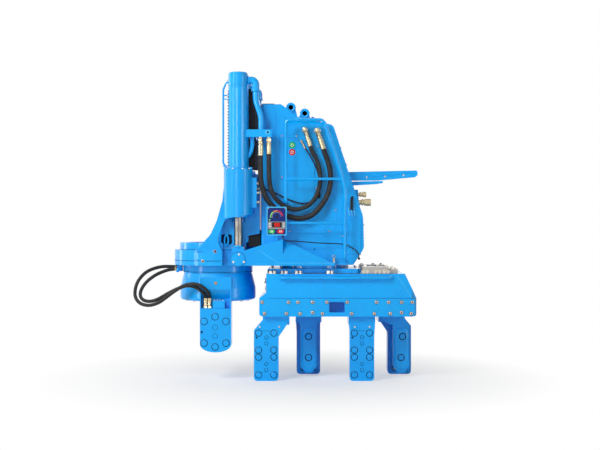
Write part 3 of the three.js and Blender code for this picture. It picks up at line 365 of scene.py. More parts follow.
def soften(made, bevel, angle=32.0, segments=2):
    """Shades smooth across shallow edges and rounds the sharp ones."""
    for face in made.data.polygons:
        face.use_smooth = True
    if bevel:
        rounding = made.modifiers.new("edge_rounding", "BEVEL")
        rounding.width = bevel
        rounding.segments = segments
        rounding.limit_method = "ANGLE"
        rounding.angle_limit = math.radians(angle)
        rounding.harden_normals = False
        rounding.use_clamp_overlap = True
        rounding.miter_outer = "MITER_ARC"
    normals = made.modifiers.new("face_normals", "WEIGHTED_NORMAL")
    normals.keep_sharp = True
    normals.weight = 80
    if not bevel:
        mark_sharp(made, angle)


def mark_sharp(made, angle):
    """Keeps the edges steeper than the angle, and the open ones, sharp."""
    work = bmesh.new()
    work.from_mesh(made.data)
    for edge in work.edges:
        edge.smooth = len(edge.link_faces) == 2 and edge.calc_face_angle(0) <= math.radians(angle)
    work.to_mesh(made.data)
    work.free()


def rounded(corners, steps=4):
    """Turns (x, z, radius) corners into an outline with round corners."""
    outline = []
    count = len(corners)
    for index, (x, z, radius) in enumerate(corners):
        here = Vector((x, z))
        if radius <= 0:
            outline.append((x, z))
            continue
        before = (Vector(corners[index - 1][:2]) - here).normalized()
        after = (Vector(corners[(index + 1) % count][:2]) - here).normalized()
        half = before.angle(after) / 2
        reach = radius / math.tan(half)
        centre = here + (before + after).normalized() * (radius / math.sin(half))
        start = (here + before * reach) - centre
        swing = start.angle_signed((here + after * reach) - centre)
        for step in range(steps + 1):
            turned = start.copy()
            turned.rotate(Matrix.Rotation(-swing * step / steps, 2))
            outline.append(tuple(centre + turned))
    return outline


def box_outline(left, low, right, high, *corners):
    """Box with one corner radius, or with four of them from the lower left on."""
    if len(corners) == 1:
        corners *= 4
    places = ((left, low), (right, low), (right, high), (left, high))
    return rounded([(x, z, corner) for (x, z), corner in zip(places, corners)])


CURVE_STEPS = 12


def smooth_path(points, steps):
    """Points along a Catmull-Rom curve with even chord spacing."""
    points = [Vector(p) for p in points]
    dense = []
    for index in range(len(points) - 1):
        p0 = points[max(index - 1, 0)]
        p1, p2 = points[index], points[index + 1]
        p3 = points[min(index + 2, len(points) - 1)]
        for step in range(CURVE_STEPS):
            t = step / CURVE_STEPS
            square = 2 * p0 - 5 * p1 + 4 * p2 - p3
            cube = 3 * p1 - p0 - 3 * p2 + p3
            dense.append(0.5 * (2 * p1 + (p2 - p0) * t + square * t ** 2 + cube * t ** 3))
    dense.append(points[-1])
    run = [0.0]
    for a, b in zip(dense, dense[1:]):
        run.append(run[-1] + (b - a).length)
    out = []
    cursor = 0
    for step in range(steps + 1):
        want = run[-1] * step / steps
        while cursor < len(run) - 2 and run[cursor + 1] < want:
            cursor += 1
        share = (want - run[cursor]) / max(run[cursor + 1] - run[cursor], 1e-9)
        out.append(dense[cursor].lerp(dense[cursor + 1], min(max(share, 0), 1)))
    return out, run[-1]


BOLT_TURN, BOLT_TURN_SPREAD = 0.3, 0.9


def hex_bolt(shape, place, axis, radius, height=None):
    """Hexagon head with a chamfered top on a round washer."""
    height = height or radius * 0.75
    shape.lathe(place, axis, [(radius * 1.22, -0.0008), (radius * 1.22, radius * 0.16),
                              (radius * 1.1, radius * 0.2)], 20)
    turn = BOLT_TURN + random.random() * BOLT_TURN_SPREAD
    shape.lathe(place, axis, [(radius, radius * 0.18), (radius, radius * 0.18 + height * 0.72),
                              (radius * 0.82, radius * 0.18 + height)], HEX, turn)


def cap_screw(shape, place, axis, radius, height=None):
    """Round socket head with a recess."""
    height = height or radius * 0.8
    shape.lathe(place, axis, [(radius, -0.0008), (radius, height * 0.82), (radius * 0.86, height),
                              (radius * 0.5, height), (radius * 0.46, height * 0.45), (0, height * 0.42)], 18)


def flush_pin(shape, place, axis, radius, rise=0.0012):
    """Round pin end set in its bore, with a chamfered rim and a centre dimple."""
    shape.lathe(place, axis, [(radius, -0.001), (radius, rise * 0.4), (radius * 0.9, rise),
                              (radius * 0.16, rise), (radius * 0.05, rise * 0.2), (0, rise * 0.1)], 28)


def ring(shape, place, axis, inner, outer, rise):
    """Thin flat ring, such as the shadow gap round a pin."""
    shape.lathe(place, axis, [(outer, -0.0006), (outer, rise * 0.7), (outer - (outer - inner) * 0.3, rise),
                              (inner, rise), (inner * 0.98, -0.0004)], 32)


# ---------------------------------------------------------------- hoses, first of all pieces

HOSE_STEPS = 72
MAIN_HOSE_OUTER = [
    (-0.295, -0.38, 1.926), (-0.294, -0.38, 1.82), (-0.288, -0.376, 1.69), (-0.251, -0.362, 1.572),
    (-0.19, -0.345, 1.492), (-0.11, -0.342, 1.43), (-0.02, -0.34, 1.398), (0.06, -0.34, 1.392),
    (0.145, -0.34, 1.42), (0.224, -0.338, 1.502), (0.285, -0.336, 1.615), (0.302, -0.334, 1.744),
    (0.285, -0.332, 1.856), (0.254, -0.331, 1.945), (0.243, -0.33, 1.979)]
MAIN_HOSE_INNER = [
    (-0.223, -0.38, 1.938), (-0.222, -0.38, 1.83), (-0.215, -0.376, 1.69), (-0.182, -0.364, 1.582),
    (-0.11, -0.348, 1.508), (-0.046, -0.342, 1.476), (0.02, -0.34, 1.468), (0.11, -0.34, 1.5),
    (0.172, -0.338, 1.57), (0.206, -0.336, 1.665), (0.212, -0.334, 1.77), (0.186, -0.332, 1.88),
    (0.146, -0.331, 1.957), (0.1299, -0.33, 2.0052)]
CHUCK_HOSE_OUTER = [
    (-1.037, 0.02, 0.966), (-1.09, 0.019, 0.968), (-1.172, 0.0, 0.968), (-1.25, -0.025, 0.95),
    (-1.316, -0.058, 0.915), (-1.37, -0.095, 0.85), (-1.392, -0.13, 0.78), (-1.386, -0.17, 0.712),
    (-1.342, -0.212, 0.662), (-1.263, -0.252, 0.644), (-1.175, -0.29, 0.668), (-1.1, -0.312, 0.718),
    (-1.041, -0.324, 0.762), (-0.946, -0.345, 0.819), (-0.851, -0.368, 0.834), (-0.782, -0.372, 0.806),
    (-0.742, -0.347, 0.762), (-0.735, -0.306, 0.738), (-0.734, -0.291, 0.718), (-0.734, -0.29, 0.704)]
CHUCK_HOSE_INNER = [
    (-1.037, -0.02, 0.948), (-1.08, -0.022, 0.946), (-1.138, -0.036, 0.934), (-1.225, -0.068, 0.896),
    (-1.3, -0.098, 0.836), (-1.342, -0.13, 0.768), (-1.342, -0.165, 0.716), (-1.308, -0.196, 0.684),
    (-1.25, -0.222, 0.677), (-1.18, -0.248, 0.698), (-1.093, -0.274, 0.747), (-0.997, -0.298, 0.794),
    (-0.911, -0.321, 0.816), (-0.835, -0.338, 0.798), (-0.788, -0.33, 0.76), (-0.771, -0.306, 0.738),
    (-0.769, -0.291, 0.718), (-0.769, -0.29, 0.704)]


def hose(name, points, radius, sides):
    """Rubber hose between two bodies, swept once along fixed points in place of the imported one."""
    path, length = smooth_path(points, HOSE_STEPS)
    made = Shape().tube(path, radius, sides).piece(name + "_cover", RUBBER, None)
    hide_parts(name)
    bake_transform(made)


hose("main_hose_outer", MAIN_HOSE_OUTER, 0.0225, 20)
hose("main_hose_inner", MAIN_HOSE_INNER, 0.019, 20)
hose("chuck_hose_outer", CHUCK_HOSE_OUTER, 0.015, 16)
hose("chuck_hose_inner", CHUCK_HOSE_INNER, 0.015, 16)

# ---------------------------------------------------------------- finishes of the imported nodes

CAST_NODES = ("chuck_frame", "chuck", "clamp_1", "clamp_2", "clamp_3", "clamp_4", "mast_arm_left",
              "mast_arm_right")
SLOT_MATERIALS = {
    "blue_paint": BLUE, "dark_blue_paint": DARK_BLUE, "bare_steel": STEEL, "chrome_rod": CHROME,
    "plated_fitting": ZINC, "hose_rubber": RUBBER, "indicator_face": NAVY}
ROUND_NODES = ("cylinder_rod_left", "cylinder_rod_right", "barrel_pipe_left", "barrel_pipe_right",
               "cross_pipe", "handrail", "step_bar_left", "step_bar_right", "sensor_guard", "panel_stem")
WIDE_ROUNDING = 0.006
FINE_ROUNDING = 0.0022
USUAL_ROUNDING = 0.004


def flatten(node):
    """Joins the coplanar triangles, so that the rounding of the edges is even."""
    joined = node.modifiers.new("coplanar_faces", "DECIMATE")
    joined.decimate_type = "DISSOLVE"
    joined.angle_limit = math.radians(0.6)


def dress(name, node):
    """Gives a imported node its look, by its slot, and softer edges."""
    slot = node.data.materials[0].name.split(".")[0] if node.data.materials else "blue_paint"
    look = next((made for key, made in SLOT_MATERIALS.items() if key in slot), BLUE)
    if name in CAST_NODES and look is BLUE:
        look = CAST_BLUE
    node.data.materials.clear()
    node.data.materials.append(look)
    flatten(node)
    rounding = USUAL_ROUNDING
    if name in ROUND_NODES:
        rounding = FINE_ROUNDING
    elif name in CAST_NODES:
        rounding = WIDE_ROUNDING
    soften(node, rounding, 30.0, 3)


for node_name, cad_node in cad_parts.items():
    dress(node_name, cad_node)


# ---------------------------------------------------------------- finding the surfaces that details sit on

TREES = {}


def tree_of(node):
    if node not in TREES:
        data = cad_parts[node].data
        points = [v.co.copy() for v in data.vertices]
        TREES[node] = BVHTree.FromPolygons(points, [tuple(p.vertices) for p in data.polygons])
    return TREES[node]


def face_at(node, x, z, side):
    """The outermost point of a node at x, z seen along Y from one side, and the direction out of it."""
    hit = tree_of(node).ray_cast(Vector((x, side * 2.0, z)), Vector((0, -side, 0)))
    if hit[0] is None:
        raise ValueError(f"{node} has no face at {x}, {z}")
    normal = hit[1] if hit[1].y * side > 0 else -hit[1]
    return hit[0], normal


def line_on(shape, points, width, rise, side, depth):
    """Thin raised line along points in X and Z, on a face at a given distance from the middle."""
    path = [Vector((x, side * (depth + rise - width / 2), z)) for x, z in points]
    shape.tube(path, width / 2, 8)


def arc(centre, radius, start, end, steps, height):
    """Points on a level arc, in degrees."""
    swings = [math.radians(start + (end - start) * step / steps) for step in range(steps + 1)]
    return [(centre[0] + radius * math.cos(a), centre[1] + radius * math.sin(a), height) for a in swings]


def upright_loop(centre, half_width, half_height, steps):
    """Closed ellipse in a plane across Y."""
    swings = [2 * math.pi * step / steps for step in range(steps + 1)]
    return [(centre[0] + half_width * math.cos(a), centre[1], centre[
        2] + half_height * math.sin(a)) for a in swings]


# ---------------------------------------------------------------- saddle

SADDLE_SIDE = 0.338
PLATE_SIDE = 0.35
RAIL_SIDE = 0.336
NOSE_COVER_X = -0.2525
SADDLE_SCREWS = (
    [(x, 0.677) for x in (-0.2816, -0.0569, 0.0231, 0.1491, 0.2691, 0.4427, 0.693, 0.7951, 0.9057, 0.997)]
    + [(x, 0.58) for x in (-0.2612, -0.0748, 0.0419, 0.2317, 0.4802, 0.6734, 0.8104, 0.988)]
    + [(x, 0.59) for x in (0.1491, 0.9057)])
SADDLE_SCREW = 0.0135
SADDLE_TOP_Z = 0.919
TOP_BOLTS = (-0.195, -0.0955, 0.0282, 0.2969)
TOP_BOLT_Y = 0.3215
SADDLE_WINDOW = (0.2885, 0.59, 0.4215, 0.68)
RAIL_BOLTS = (0.598, 0.702, 0.7745)
REAR_STOP_BOLTS = (0.83, 0.866)
STEP_BAR_ENDS = (-0.121, 0.817)


def saddle_screws(word, side):
    out = (0, side, 0)
    screws, bores = Shape(), Shape()
    for x, z in SADDLE_SCREWS:
        point, _ = face_at("saddle_plate_" + word, x, z, side)
        cap_screw(screws, point, out, SADDLE_SCREW, 0.007)
        # The dark hexagon and ring are painted shade in each screw's socket and in the gap round its head.
        bores.lathe((x, side * PLATE_SIDE, z), out, mm((6.2, 3), (6.2, 6.6), (0, 6.6)), HEX, 0.4)
        ring(bores, (x, side * PLATE_SIDE, z), out, SADDLE_SCREW, SADDLE_SCREW + 0.0035, 0.0014)
    screws.piece("saddle_plate_screws_" + word, SCREW, "root", angle=40)
    bores.piece("saddle_counterbores_" + word, GAP_SHADE, "root", angle=40)


def saddle_top_bolts(word, side):
    bolts = Shape()
    for x in TOP_BOLTS:
        for shift in (-0.0165, 0.0165):
            hex_bolt(bolts, (x + shift, side * TOP_BOLT_Y, SADDLE_TOP_Z), UP, 0.0145, 0.024)
    for x in RAIL_BOLTS:
        for shift in (-0.0155, 0.0155):
            hex_bolt(bolts, (x + shift, side * RAIL_SIDE, 0.936), (0, side, 0), 0.0145, 0.011)
        hex_bolt(bolts, (x, side * 0.265, 0.979), UP, 0.015, 0.01)
    for x in REAR_STOP_BOLTS:
        hex_bolt(bolts, (x, side * 0.18, 0.956), UP, 0.011, 0.009)
    bolts.piece("saddle_top_bolts_" + word, BOLT, "root", angle=30)


def saddle_details():
    for word, side in SIDES:
        saddle_screws(word, side)
        saddle_top_bolts(word, side)
        shim, seam, ridge, well, feet = Shape(), Shape(), Shape(), Shape(), Shape()
        shim.prism(box_outline(0.578, 0.921, 0.791, 0.952, 0.002, 0.002, 0.003, 0.003), side * 0.329,
                   side * RAIL_SIDE)
        shim.piece("rear_rail_shim_" + word, STEEL, "root", 0.001)
        # A pale line on the saddle's rear edge: a painted highlight.
        line_on(ridge, [(0.868, 0.905), (0.993, 0.716)], 0.005, 0.0016, side, SADDLE_SIDE)
        ridge.piece("saddle_ridge_highlight_" + word, PALE_BLUE, "root")
        # A dark line along the plate's joint: painted shade in the seam.
        line_on(seam, [(-0.23, 0.7095), (1.01, 0.7095)], 0.003, 0.0012, side, SADDLE_SIDE)
        seam.piece("saddle_seams_" + word, GAP_SHADE, "root")
        # The window's floor is deep blue as painted shade in the recess.
        well.prism(box_outline(*SADDLE_WINDOW, 0.016), side * 0.2675, side * 0.2705)
        well.piece("saddle_window_floor_shade_" + word, DARK_BLUE, "root")
        for x in STEP_BAR_ENDS:
            feet.lathe((x, side * SADDLE_SIDE, 0.886), (0, side, 0), mm(
                (24, -1), (24, 3), (19, 7), (14.5, 14), (13.5, 24)), 28)
        feet.piece("step_bar_weld_collars_" + word, BLUE, "root", angle=50)


def saddle_nose_details():
    bolts, cover, grease = Shape(), Shape(), Shape()
    for side in (NEAR, FAR):
        for y in (0.255, 0.12):
            for z in (0.862, 0.79):
                hex_bolt(bolts, (-0.247, side * y, z), FORWARD, 0.013, 0.011)
    bolts.piece("saddle_nose_bolts", BOLT, "root", angle=30)
    cover.prism(box_outline(-0.2, 0.772, 0.2, 0.882, 0.012), NOSE_COVER_X, -0.245, "X")
    cover.piece("saddle_nose_cover", BLUE, "root", 0.002)
    for y in (-0.05, 0.0, 0.05):
        grease.lathe((NOSE_COVER_X, y, 0.83), FORWARD, mm(
            (8, 0), (8, 4), (5, 6), (4.5, 12), (6, 15), (3, 19)), 12)
    grease.piece("saddle_grease_points", ZINC, "root", angle=40)


# ---------------------------------------------------------------- clamps

CLAMPS = (("clamp_1", -0.248, NEAR, (-0.304, -0.137)), ("clamp_2", 0.116, FAR, (0.06, 0.172)),
          ("clamp_3", 0.571, NEAR, (0.51, 0.636)), ("clamp_4", 0.93, FAR, (0.819, 0.986)))
LEG_PIN_ROWS = (0.41, 0.265, 0.204, 0.052)
LEG_PIN_REACH = 0.0652
LEG_PLUG_ROWS = (0.374, 0.322, 0.147, 0.096)
NARROW_PIN_ROWS = ((0.355, 1.0), (0.17, 0.0))
REAR_LEG_LEAN = 0.0115
PIN_RADIUS = 0.0245
PLUG_RADIUS = 0.0135


def pinned(pins, gaps, node, x, z, side, radius, gap=0.0056, raised=0.0):
    """Pin end with the gap of its bore round it; the gap is a dark ring of painted shade."""
    point, normal = face_at(node, x, z, side)
    point = point + normal * raised
    ring(gaps, point, normal, radius, radius + gap, 0.0012)
    flush_pin(pins, point, normal, radius, 0.0022)


def clamp_details():
    for name, middle, side, screws in CLAMPS:
        pins, gaps, bolts = Shape(), Shape(), Shape()
        for z in LEG_PIN_ROWS:
            for reach in (-LEG_PIN_REACH, LEG_PIN_REACH):
                pinned(pins, gaps, name, middle + reach, z, side, PIN_RADIUS)
        for z in LEG_PLUG_ROWS:
            pinned(pins, gaps, name, middle, z, side, PLUG_RADIUS, 0.003)
        lean = REAR_LEG_LEAN if name == "clamp_4" else 0.0
        for z, share in NARROW_PIN_ROWS:
            pinned(pins, gaps, name, middle + lean * share, z, -side, PIN_RADIUS, 0.0075, 0.0044)
        edge, _ = face_at(name, middle, 0.4, side)
        # A dark disc for a hole and a dark line below the screws: painted shade.
        gaps.lathe((middle - 0.083, edge.y - side * 0.002, 0.371), (0, side, 0), mm(
            (8.5, 0), (8.5, 3), (4, 3.2)), 16)
        for x in screws:
            cap_screw(bolts, (x, edge.y, 0.464), (0, side, 0), 0.0075, 0.005)
        line_on(gaps, [(middle - 0.036, 0.429), (middle + 0.036, 0.429)], 0.0028, 0.001, side, abs(edge.y))
        pins.piece(name + "_pins", CAST_BLUE, "root", angle=25)
        gaps.piece(name + "_pin_gaps", GAP_SHADE, "root", angle=40)
        bolts.piece(name + "_screws", BOLT, "root", angle=40)


def shoe_outline(middle, half, top, bottom):
    """Upright outline with a half-round lower end and cut upper corners."""
    swing = [math.pi * step / 14 for step in range(15)]
    return ([(middle - half * math.cos(a), bottom + half - half * math.sin(a)) for a in swing]
            + [(middle + half, top - 0.025), (middle + half - 0.02, top), (middle - half + 0.02, top),
               (middle - half, top - 0.025)])


def clamp_shoe_details():
    """Raised rounded shoe on the narrow leg of each clamp."""
    for name, middle, side, _ in CLAMPS:
        shape = Shape()
        shape.prism(shoe_outline(middle, 0.062, 0.425, 0.064), -side * 0.0295, -side * 0.0345,
                    far_outline=shoe_outline(middle, 0.049, 0.42, 0.078))
        shape.piece(name + "_shoe_face", BLUE, "root", 0.0008, 20)


def teeth(name, rows, margin, half, crest, root_depth, inset):
    """Rows of teeth across the gripping face of a moving jaw, which looks along crest's sign."""
    low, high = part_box(name)
    face = high.y if crest > 0 else low.y
    shape = Shape()
    for row in range(rows):
        z = low.z + margin + (high.z - low.z - 2 * margin) * row / (rows - 1)
        tooth = [(face, z - half), (face + crest, z), (face, z + half), (face - root_depth, z)]
        shape.prism(tooth, low.x + inset, high.x - inset, "X")
    shape.piece(name + "_teeth", STEEL, name, angle=20)


def jaw_details():
    for name, _, side, _ in CLAMPS:
        teeth(name + "_jaw", 13, 0.02, 0.008, -side * 0.0035, -side * 0.004, 0.006)


saddle_details()
saddle_nose_details()
clamp_details()
clamp_shoe_details()
jaw_details()

# ---------------------------------------------------------------- chuck

CHUCK_AXIS = (-0.681, 0.0)
TONGUE_PINS = ((-0.685, 0.551), (-0.779, 0.511), (-0.592, 0.511), (-0.779, 0.325), (-0.592, 0.325),
               (-0.685, 0.292))
TONGUE_PLUGS = ((-0.685, 0.458), (-0.685, 0.386))
CHUCK_HOSE_X = (-0.734, -0.769)


def plug_at(shape, place, axis, radius, rise, bore, sides=18):
    """Small dark disc of painted shade that stands for a bore."""
    shape.lathe(place, axis, [(radius, -0.001), (radius, rise), (bore, rise + 0.0002)], sides)


def chuck_details():
    pins, gaps, plug, band = Shape(), Shape(), Shape(), Shape()
    for x, z in TONGUE_PINS:
        pinned(pins, gaps, "chuck", x, z, NEAR, 0.0262, 0.0055)
    for x, z in TONGUE_PLUGS:
        pinned(pins, gaps, "chuck", x, z, NEAR, 0.0205, 0.0026)
    # A dark hole disc and dark seam arcs round the chuck: painted shade.
    gaps.lathe((-0.799, -0.3075, 0.419), NEARWARD, mm((9.5, 0), (9.5, 1.4), (4, 1.6)), 18)
    gaps.tube(arc(CHUCK_AXIS, 0.3042, 0, 360, 72, 0.93), 0.0022, 8)
    gaps.tube(arc(CHUCK_AXIS, 0.3322, 150, 205, 16, 0.792), 0.0012, 6)
    pins.piece("chuck_pins", CAST_BLUE, "chuck", angle=25)
    gaps.piece("chuck_pin_gaps", GAP_SHADE, "chuck", angle=40)
    point, normal = face_at("chuck", -0.68, 0.838, NEAR)
    plug.lathe(point, normal, mm((12.5, -2), (12.5, 4), (11, 6), (6, 6), (5, 2), (0, 2)), 24)
    plug.piece("chuck_oil_plug", BRONZE, "chuck", angle=35)
    for spot in arc(CHUCK_AXIS, 0.276, 9, 345, 14, 0.6825):
        cap_screw(band, spot, DOWN, 0.011, 0.009)
    band.piece("chuck_retaining_screws", BOLT, "chuck", angle=35)


def chuck_fitting_details():
    """Swaged hose ends on the valve block in the tongue's pocket."""
    ends, block, screws = Shape(), Shape(), Shape()
    for x in CHUCK_HOSE_X:
        ends.lathe((x, -0.29, 0.71), DOWN, mm((15, 0), (17.6, 3), (17.6, 24), (16, 27), (17.6, 30),
                                              (17.6, 40), (12, 44), (12, 48)), 20)
        ends.lathe((x, -0.29, 0.662), DOWN, mm((16.5, 0), (18, 2), (18, 16), (16.5, 18)), HEX, 0.2)
        ends.lathe((x, -0.29, 0.644), DOWN, mm((11, 0), (11, 6), (15.5, 7), (15.5, 19), (12, 21)), HEX, 0.5)
    made = ends.piece("chuck_hose_ends", ZINC, "chuck", angle=38)
    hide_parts("chuck_fittings")
    block.prism(box_outline(-0.706, 0.6215, -0.603, 0.687, 0.003, 0.003, 0.004, 0.004), -0.3, -0.257)
    block.prism(box_outline(-0.795, 0.6215, -0.706, 0.6255, 0.002, 0.002, 0.001, 0.001), -0.302, -0.257)
    block.piece("chuck_valve_block", BLUE, "chuck", 0.0016)
    for x in (-0.692, -0.668, -0.642, -0.617):
        for y in (-0.289, -0.268):
            cap_screw(screws, (x, y, 0.687), UP, 0.0062, 0.0055)
    screws.piece("chuck_valve_screws", BOLT, "chuck", angle=35)


def chuck_jaw_details():
    teeth("chuck_jaw", 15, 0.018, 0.0065, 0.0035, 0.004, 0.008)


# ---------------------------------------------------------------- chuck frame

BARREL_X = -0.484
BARREL_Y = 0.36
SHACKLE_X = -0.587
PIPE_RADIUS = 0.025
PIPE_REACH = 0.064
ELBOW_RADIUS = 0.0325
ELBOW_TURN = 0.034
SIDE_PIPE = ((-0.366, 0.352, 2.086), (-0.364, 0.352, 2.045), (-0.366, 0.352, 2.005), (-0.374, 0.352, 1.968),
             (-0.386, 0.353, 1.94), (-0.402, 0.355, 1.916))


def frame_seams():
    gaps, plugs = Shape(), Shape()
    # Dark seam arcs and dark discs in the oil plugs: painted shade.
    gaps.tube(arc(CHUCK_AXIS, 0.3815, 82, 278, 60, 1.029), 0.002, 8)
    gaps.tube(arc(CHUCK_AXIS, 0.336, 60, 300, 60, 1.1225), 0.0024, 6)
    for side in (NEAR, FAR):
        for x, z in ((-0.68, 1.111), (-0.785, 1.028)):
            point, normal = face_at("chuck_frame", x, z, side)
            plug_at(gaps, point, normal, 0.0085, 0.0026, 0.003)
            plugs.lathe(point, normal, mm((12.5, -2), (12.5, 1.4), (8.5, 2.2), (8.5, -2)), 24)
        centre = (BARREL_X, side * BARREL_Y)
        gaps.tube(arc(centre, 0.1213, 0, 360, 48, 1.765), 0.0017, 6)
        gaps.tube(arc(centre, 0.0836, 0, 360, 40, 2.515), 0.0014, 6)
    gaps.piece("frame_seams", GAP_SHADE, "chuck_frame", angle=40)
    plugs.piece("frame_oil_plugs", BRONZE, "chuck_frame", angle=35)


def frame_bolts():
    bolts = Shape()
    for side in (NEAR, FAR):
        for spot in arc((BARREL_X, side * BARREL_Y), 0.103, 22.5, 337.5, 7, 1.808):
            cap_screw(bolts, spot, UP, 0.0085, 0.009)
        for z in (1.53, 1.61, 1.69):
            hex_bolt(bolts, (-0.327, side * 0.345, z), BACK, 0.01, 0.022)
        bolts.lathe((BARREL_X - 0.083, side * BARREL_Y, 2.56), FORWARD, mm(
            (12, -4), (12, 4), (9, 5), (9, 12), (6, 14)), HEX, 0.3)
    bolts.piece("frame_bolts", BOLT, "chuck_frame", angle=35)


def barrel_heads():
    heads = Shape()
    for side in (NEAR, FAR):
        y = side * BARREL_Y
        heads.lathe((BARREL_X, y, 2.49), UP, mm((83, 0), (84.5, 2), (84.5, 128), (78, 139), (60, 143.2),
                                                (0, 143.8)), 40)
        heads.lathe((BARREL_X, y, 1.806), UP, mm((94, 0), (94, 10), (88, 17), (83, 19)), 40)
        for x in (BARREL_X - 0.104, BARREL_X + 0.104):
            heads.prism(box_outline(x - 0.014, 1.8, x + 0.014, 1.826, 0.002, 0.002, 0.006, 0.006), y - 0.03,
                        y + 0.03)
    heads.piece("barrel_heads", BLUE, "chuck_frame", 0.0018, 35)


def frame_details():
    frame_seams()
    frame_bolts()
    barrel_heads()


def shackle_details():
    """Lifting shackle in its pocket on each side of the frame."""
    for word, side in SIDES:
        pocket, hook = Shape(), Shape()
        point, _ = face_at("chuck_frame", SHACKLE_X, 1.212, side)
        face = abs(point.y)
        # The pocket is a thin dark plate: painted shade in the recess round the shackle.
        pocket.prism(box_outline(-0.634, 1.17, -0.541, 1.254, 0.014), side * (face - 0.001),
                     side * (face + 0.0012))
        pocket.piece("shackle_pocket_" + word, GAP_SHADE, "chuck_frame", 0.0004)
        hook.tube(upright_loop((SHACKLE_X, side * (face + 0.0105), 1.204), 0.0165, 0.043, 28), 0.0074, 12)
        tab = rounded([(-0.601, 1.244, 0.006), (-0.573, 1.244, 0.006), (-0.58, 1.318, 0.006),
                       (-0.594, 1.318, 0.006)])
        hook.prism(tab, side * (face - 0.002), side * (face + 0.0125))
        hook.piece("lifting_shackle_" + word, BLUE, "chuck_frame", angle=40)


def sensor_details():
    """Graduated strip and its holders beside the left barrel."""
    strip, marks, stays, screws = Shape(), Shape(), Shape(), Shape()
    strip.prism(box_outline(-0.5735, 1.812, -0.5675, 2.476, 0), -0.369, -0.351)
    strip.piece("sensor_strip", BLACK, "chuck_frame", 0.0006)
    for step in range(26):
        z = 1.822 + step * 0.0253
        marks.prism(box_outline(-0.5745, z, -0.5668, z + 0.0135, 0), -0.3698, -0.3502)
    marks.piece("sensor_strip_marks", CREAM, "chuck_frame", 0.0004, slot="bare_steel")
    for z in (1.835, 2.405):
        stays.tube([(-0.615, -0.36, z), (-0.572, -0.36, z)], 0.005, 10)
    stays.piece("sensor_guard_stays", BLUE, "chuck_frame")
    for x, z in ((-0.6005, 1.742), (-0.596, 1.7)):
        screws.lathe((x, -0.372, z), (-0.8, -0.6, 0), mm((10, -6), (10, 5), (7, 8)), HEX, 0.2)
    screws.piece("sleeve_side_screws", BOLT, "chuck_frame", angle=35)


def pipe_details():
    for word, side in SIDES:
        pipe, eye, bore = Shape(), Shape(), Shape()
        low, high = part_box("barrel_pipe_" + word)
        y, head_z, drop_x = side * BARREL_Y, high.z - PIPE_RADIUS, low.x + PIPE_REACH
        pipe.lathe((low.x - 0.002, y, head_z), BACK, mm((40, 0), (40, 9), (34.5, 12)), 28)
        turn = [(drop_x - ELBOW_TURN * (1 - math.sin(a)), y, head_z - ELBOW_TURN * (1 - math.cos(a)))
                for a in [math.radians(15 * step) for step in range(7)]]
        pipe.tube([(low.x, y, head_z)] + turn + [(drop_x, y, head_z - 0.088)], ELBOW_RADIUS, 26)
        pipe.lathe((drop_x, y, head_z - 0.074), DOWN, [
            (ELBOW_RADIUS, -0.002), (0.0372, 0.001), (0.0372, 0.019), (0.03, 0.023)], 28)
        path, _ = smooth_path([(x, side * y, z) for x, y, z in SIDE_PIPE], 16)
        pipe.tube(path, 0.0185, 16)
        pipe.lathe((-0.366, side * 0.352, 2.083), DOWN, mm((24, 0), (24, 10), (19, 14)), 24)
        pipe.piece("pipe_collars_" + word, BLUE, "chuck_frame", angle=38)
        place = (-0.2314, side * 0.41, 2.1199)
        eye.lathe(place, (0, side, 0), mm((20.5, -1), (20.5, 2), (18.5, 3.4), (10, 3.6), (8.5, 0.5)), 28)
        eye.piece("bracket_eye_" + word, PALE_BLUE, "chuck_frame", angle=38)
        # The eye's bore is a dark disc of painted shade.
        plug_at(bore, place, (0, side, 0), 0.0088, 0.0022, 0.002, 20)
        bore.piece("bracket_eye_bore_" + word, GAP_SHADE, "chuck_frame", angle=38)


def hose_end(shape, place, axis, radius, nut_turn=0.1):
    """Adaptor, swivel nut and stop ring of a hose end. Returns where its ferrule starts."""
    step = Vector(axis).normalized()
    nut, neck = Vector(place) + step * 0.012, Vector(place) + step * 0.036
    shape.lathe(place, axis, shares(radius, (0.62, -0.002), (0.62, 0.012), (0.7, 0.014)), 20)
    shape.lathe(nut, axis, shares(radius, (0.92, 0), (1.02, 0.003), (1.02, 0.023), (0.92, 0.026)), HEX,
                nut_turn)
    shape.lathe(neck, axis, shares(radius, (0.66, 0), (0.66, 0.008), (0.95, 0.01), (0.95, 0.02),
                                   (0.78, 0.023), (0.78, 0.028), (0.98, 0.03)), 22)
    return neck + step * 0.028


def ferrule(shape, start, end, radius):
    """Crimped sleeve with shallow grooves."""
    axis = Vector(end) - Vector(start)
    length = axis.length
    groove = radius * 0.955
    profile = [(radius * 0.94, 0), (radius, 0.002)]
    count = max(3, int(length / 0.013))
    for step in range(count):
        base = 0.004 + (length - 0.01) * step / count
        profile += [(radius, base), (groove, base + 0.002), (groove, base + 0.0045), (radius, base + 0.0065)]
    profile += [(radius, length - 0.002), (radius * 0.93, length)]
    shape.lathe(start, axis, profile, 24)


def bracket_fitting_details():
    shape = Shape()
    for x, low, radius, nut_turn in ((-0.295, 1.924, 0.0245, 0.15), (-0.223, 1.936, 0.0215, 0.6)):
        base = hose_end(shape, (x, -0.38, 2.08), DOWN, radius, nut_turn)
        ferrule(shape, base, (x, -0.38, low), radius)
    made = shape.piece("bracket_hose_ends", ZINC, "chuck_frame", angle=34)
    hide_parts("bracket_fittings")


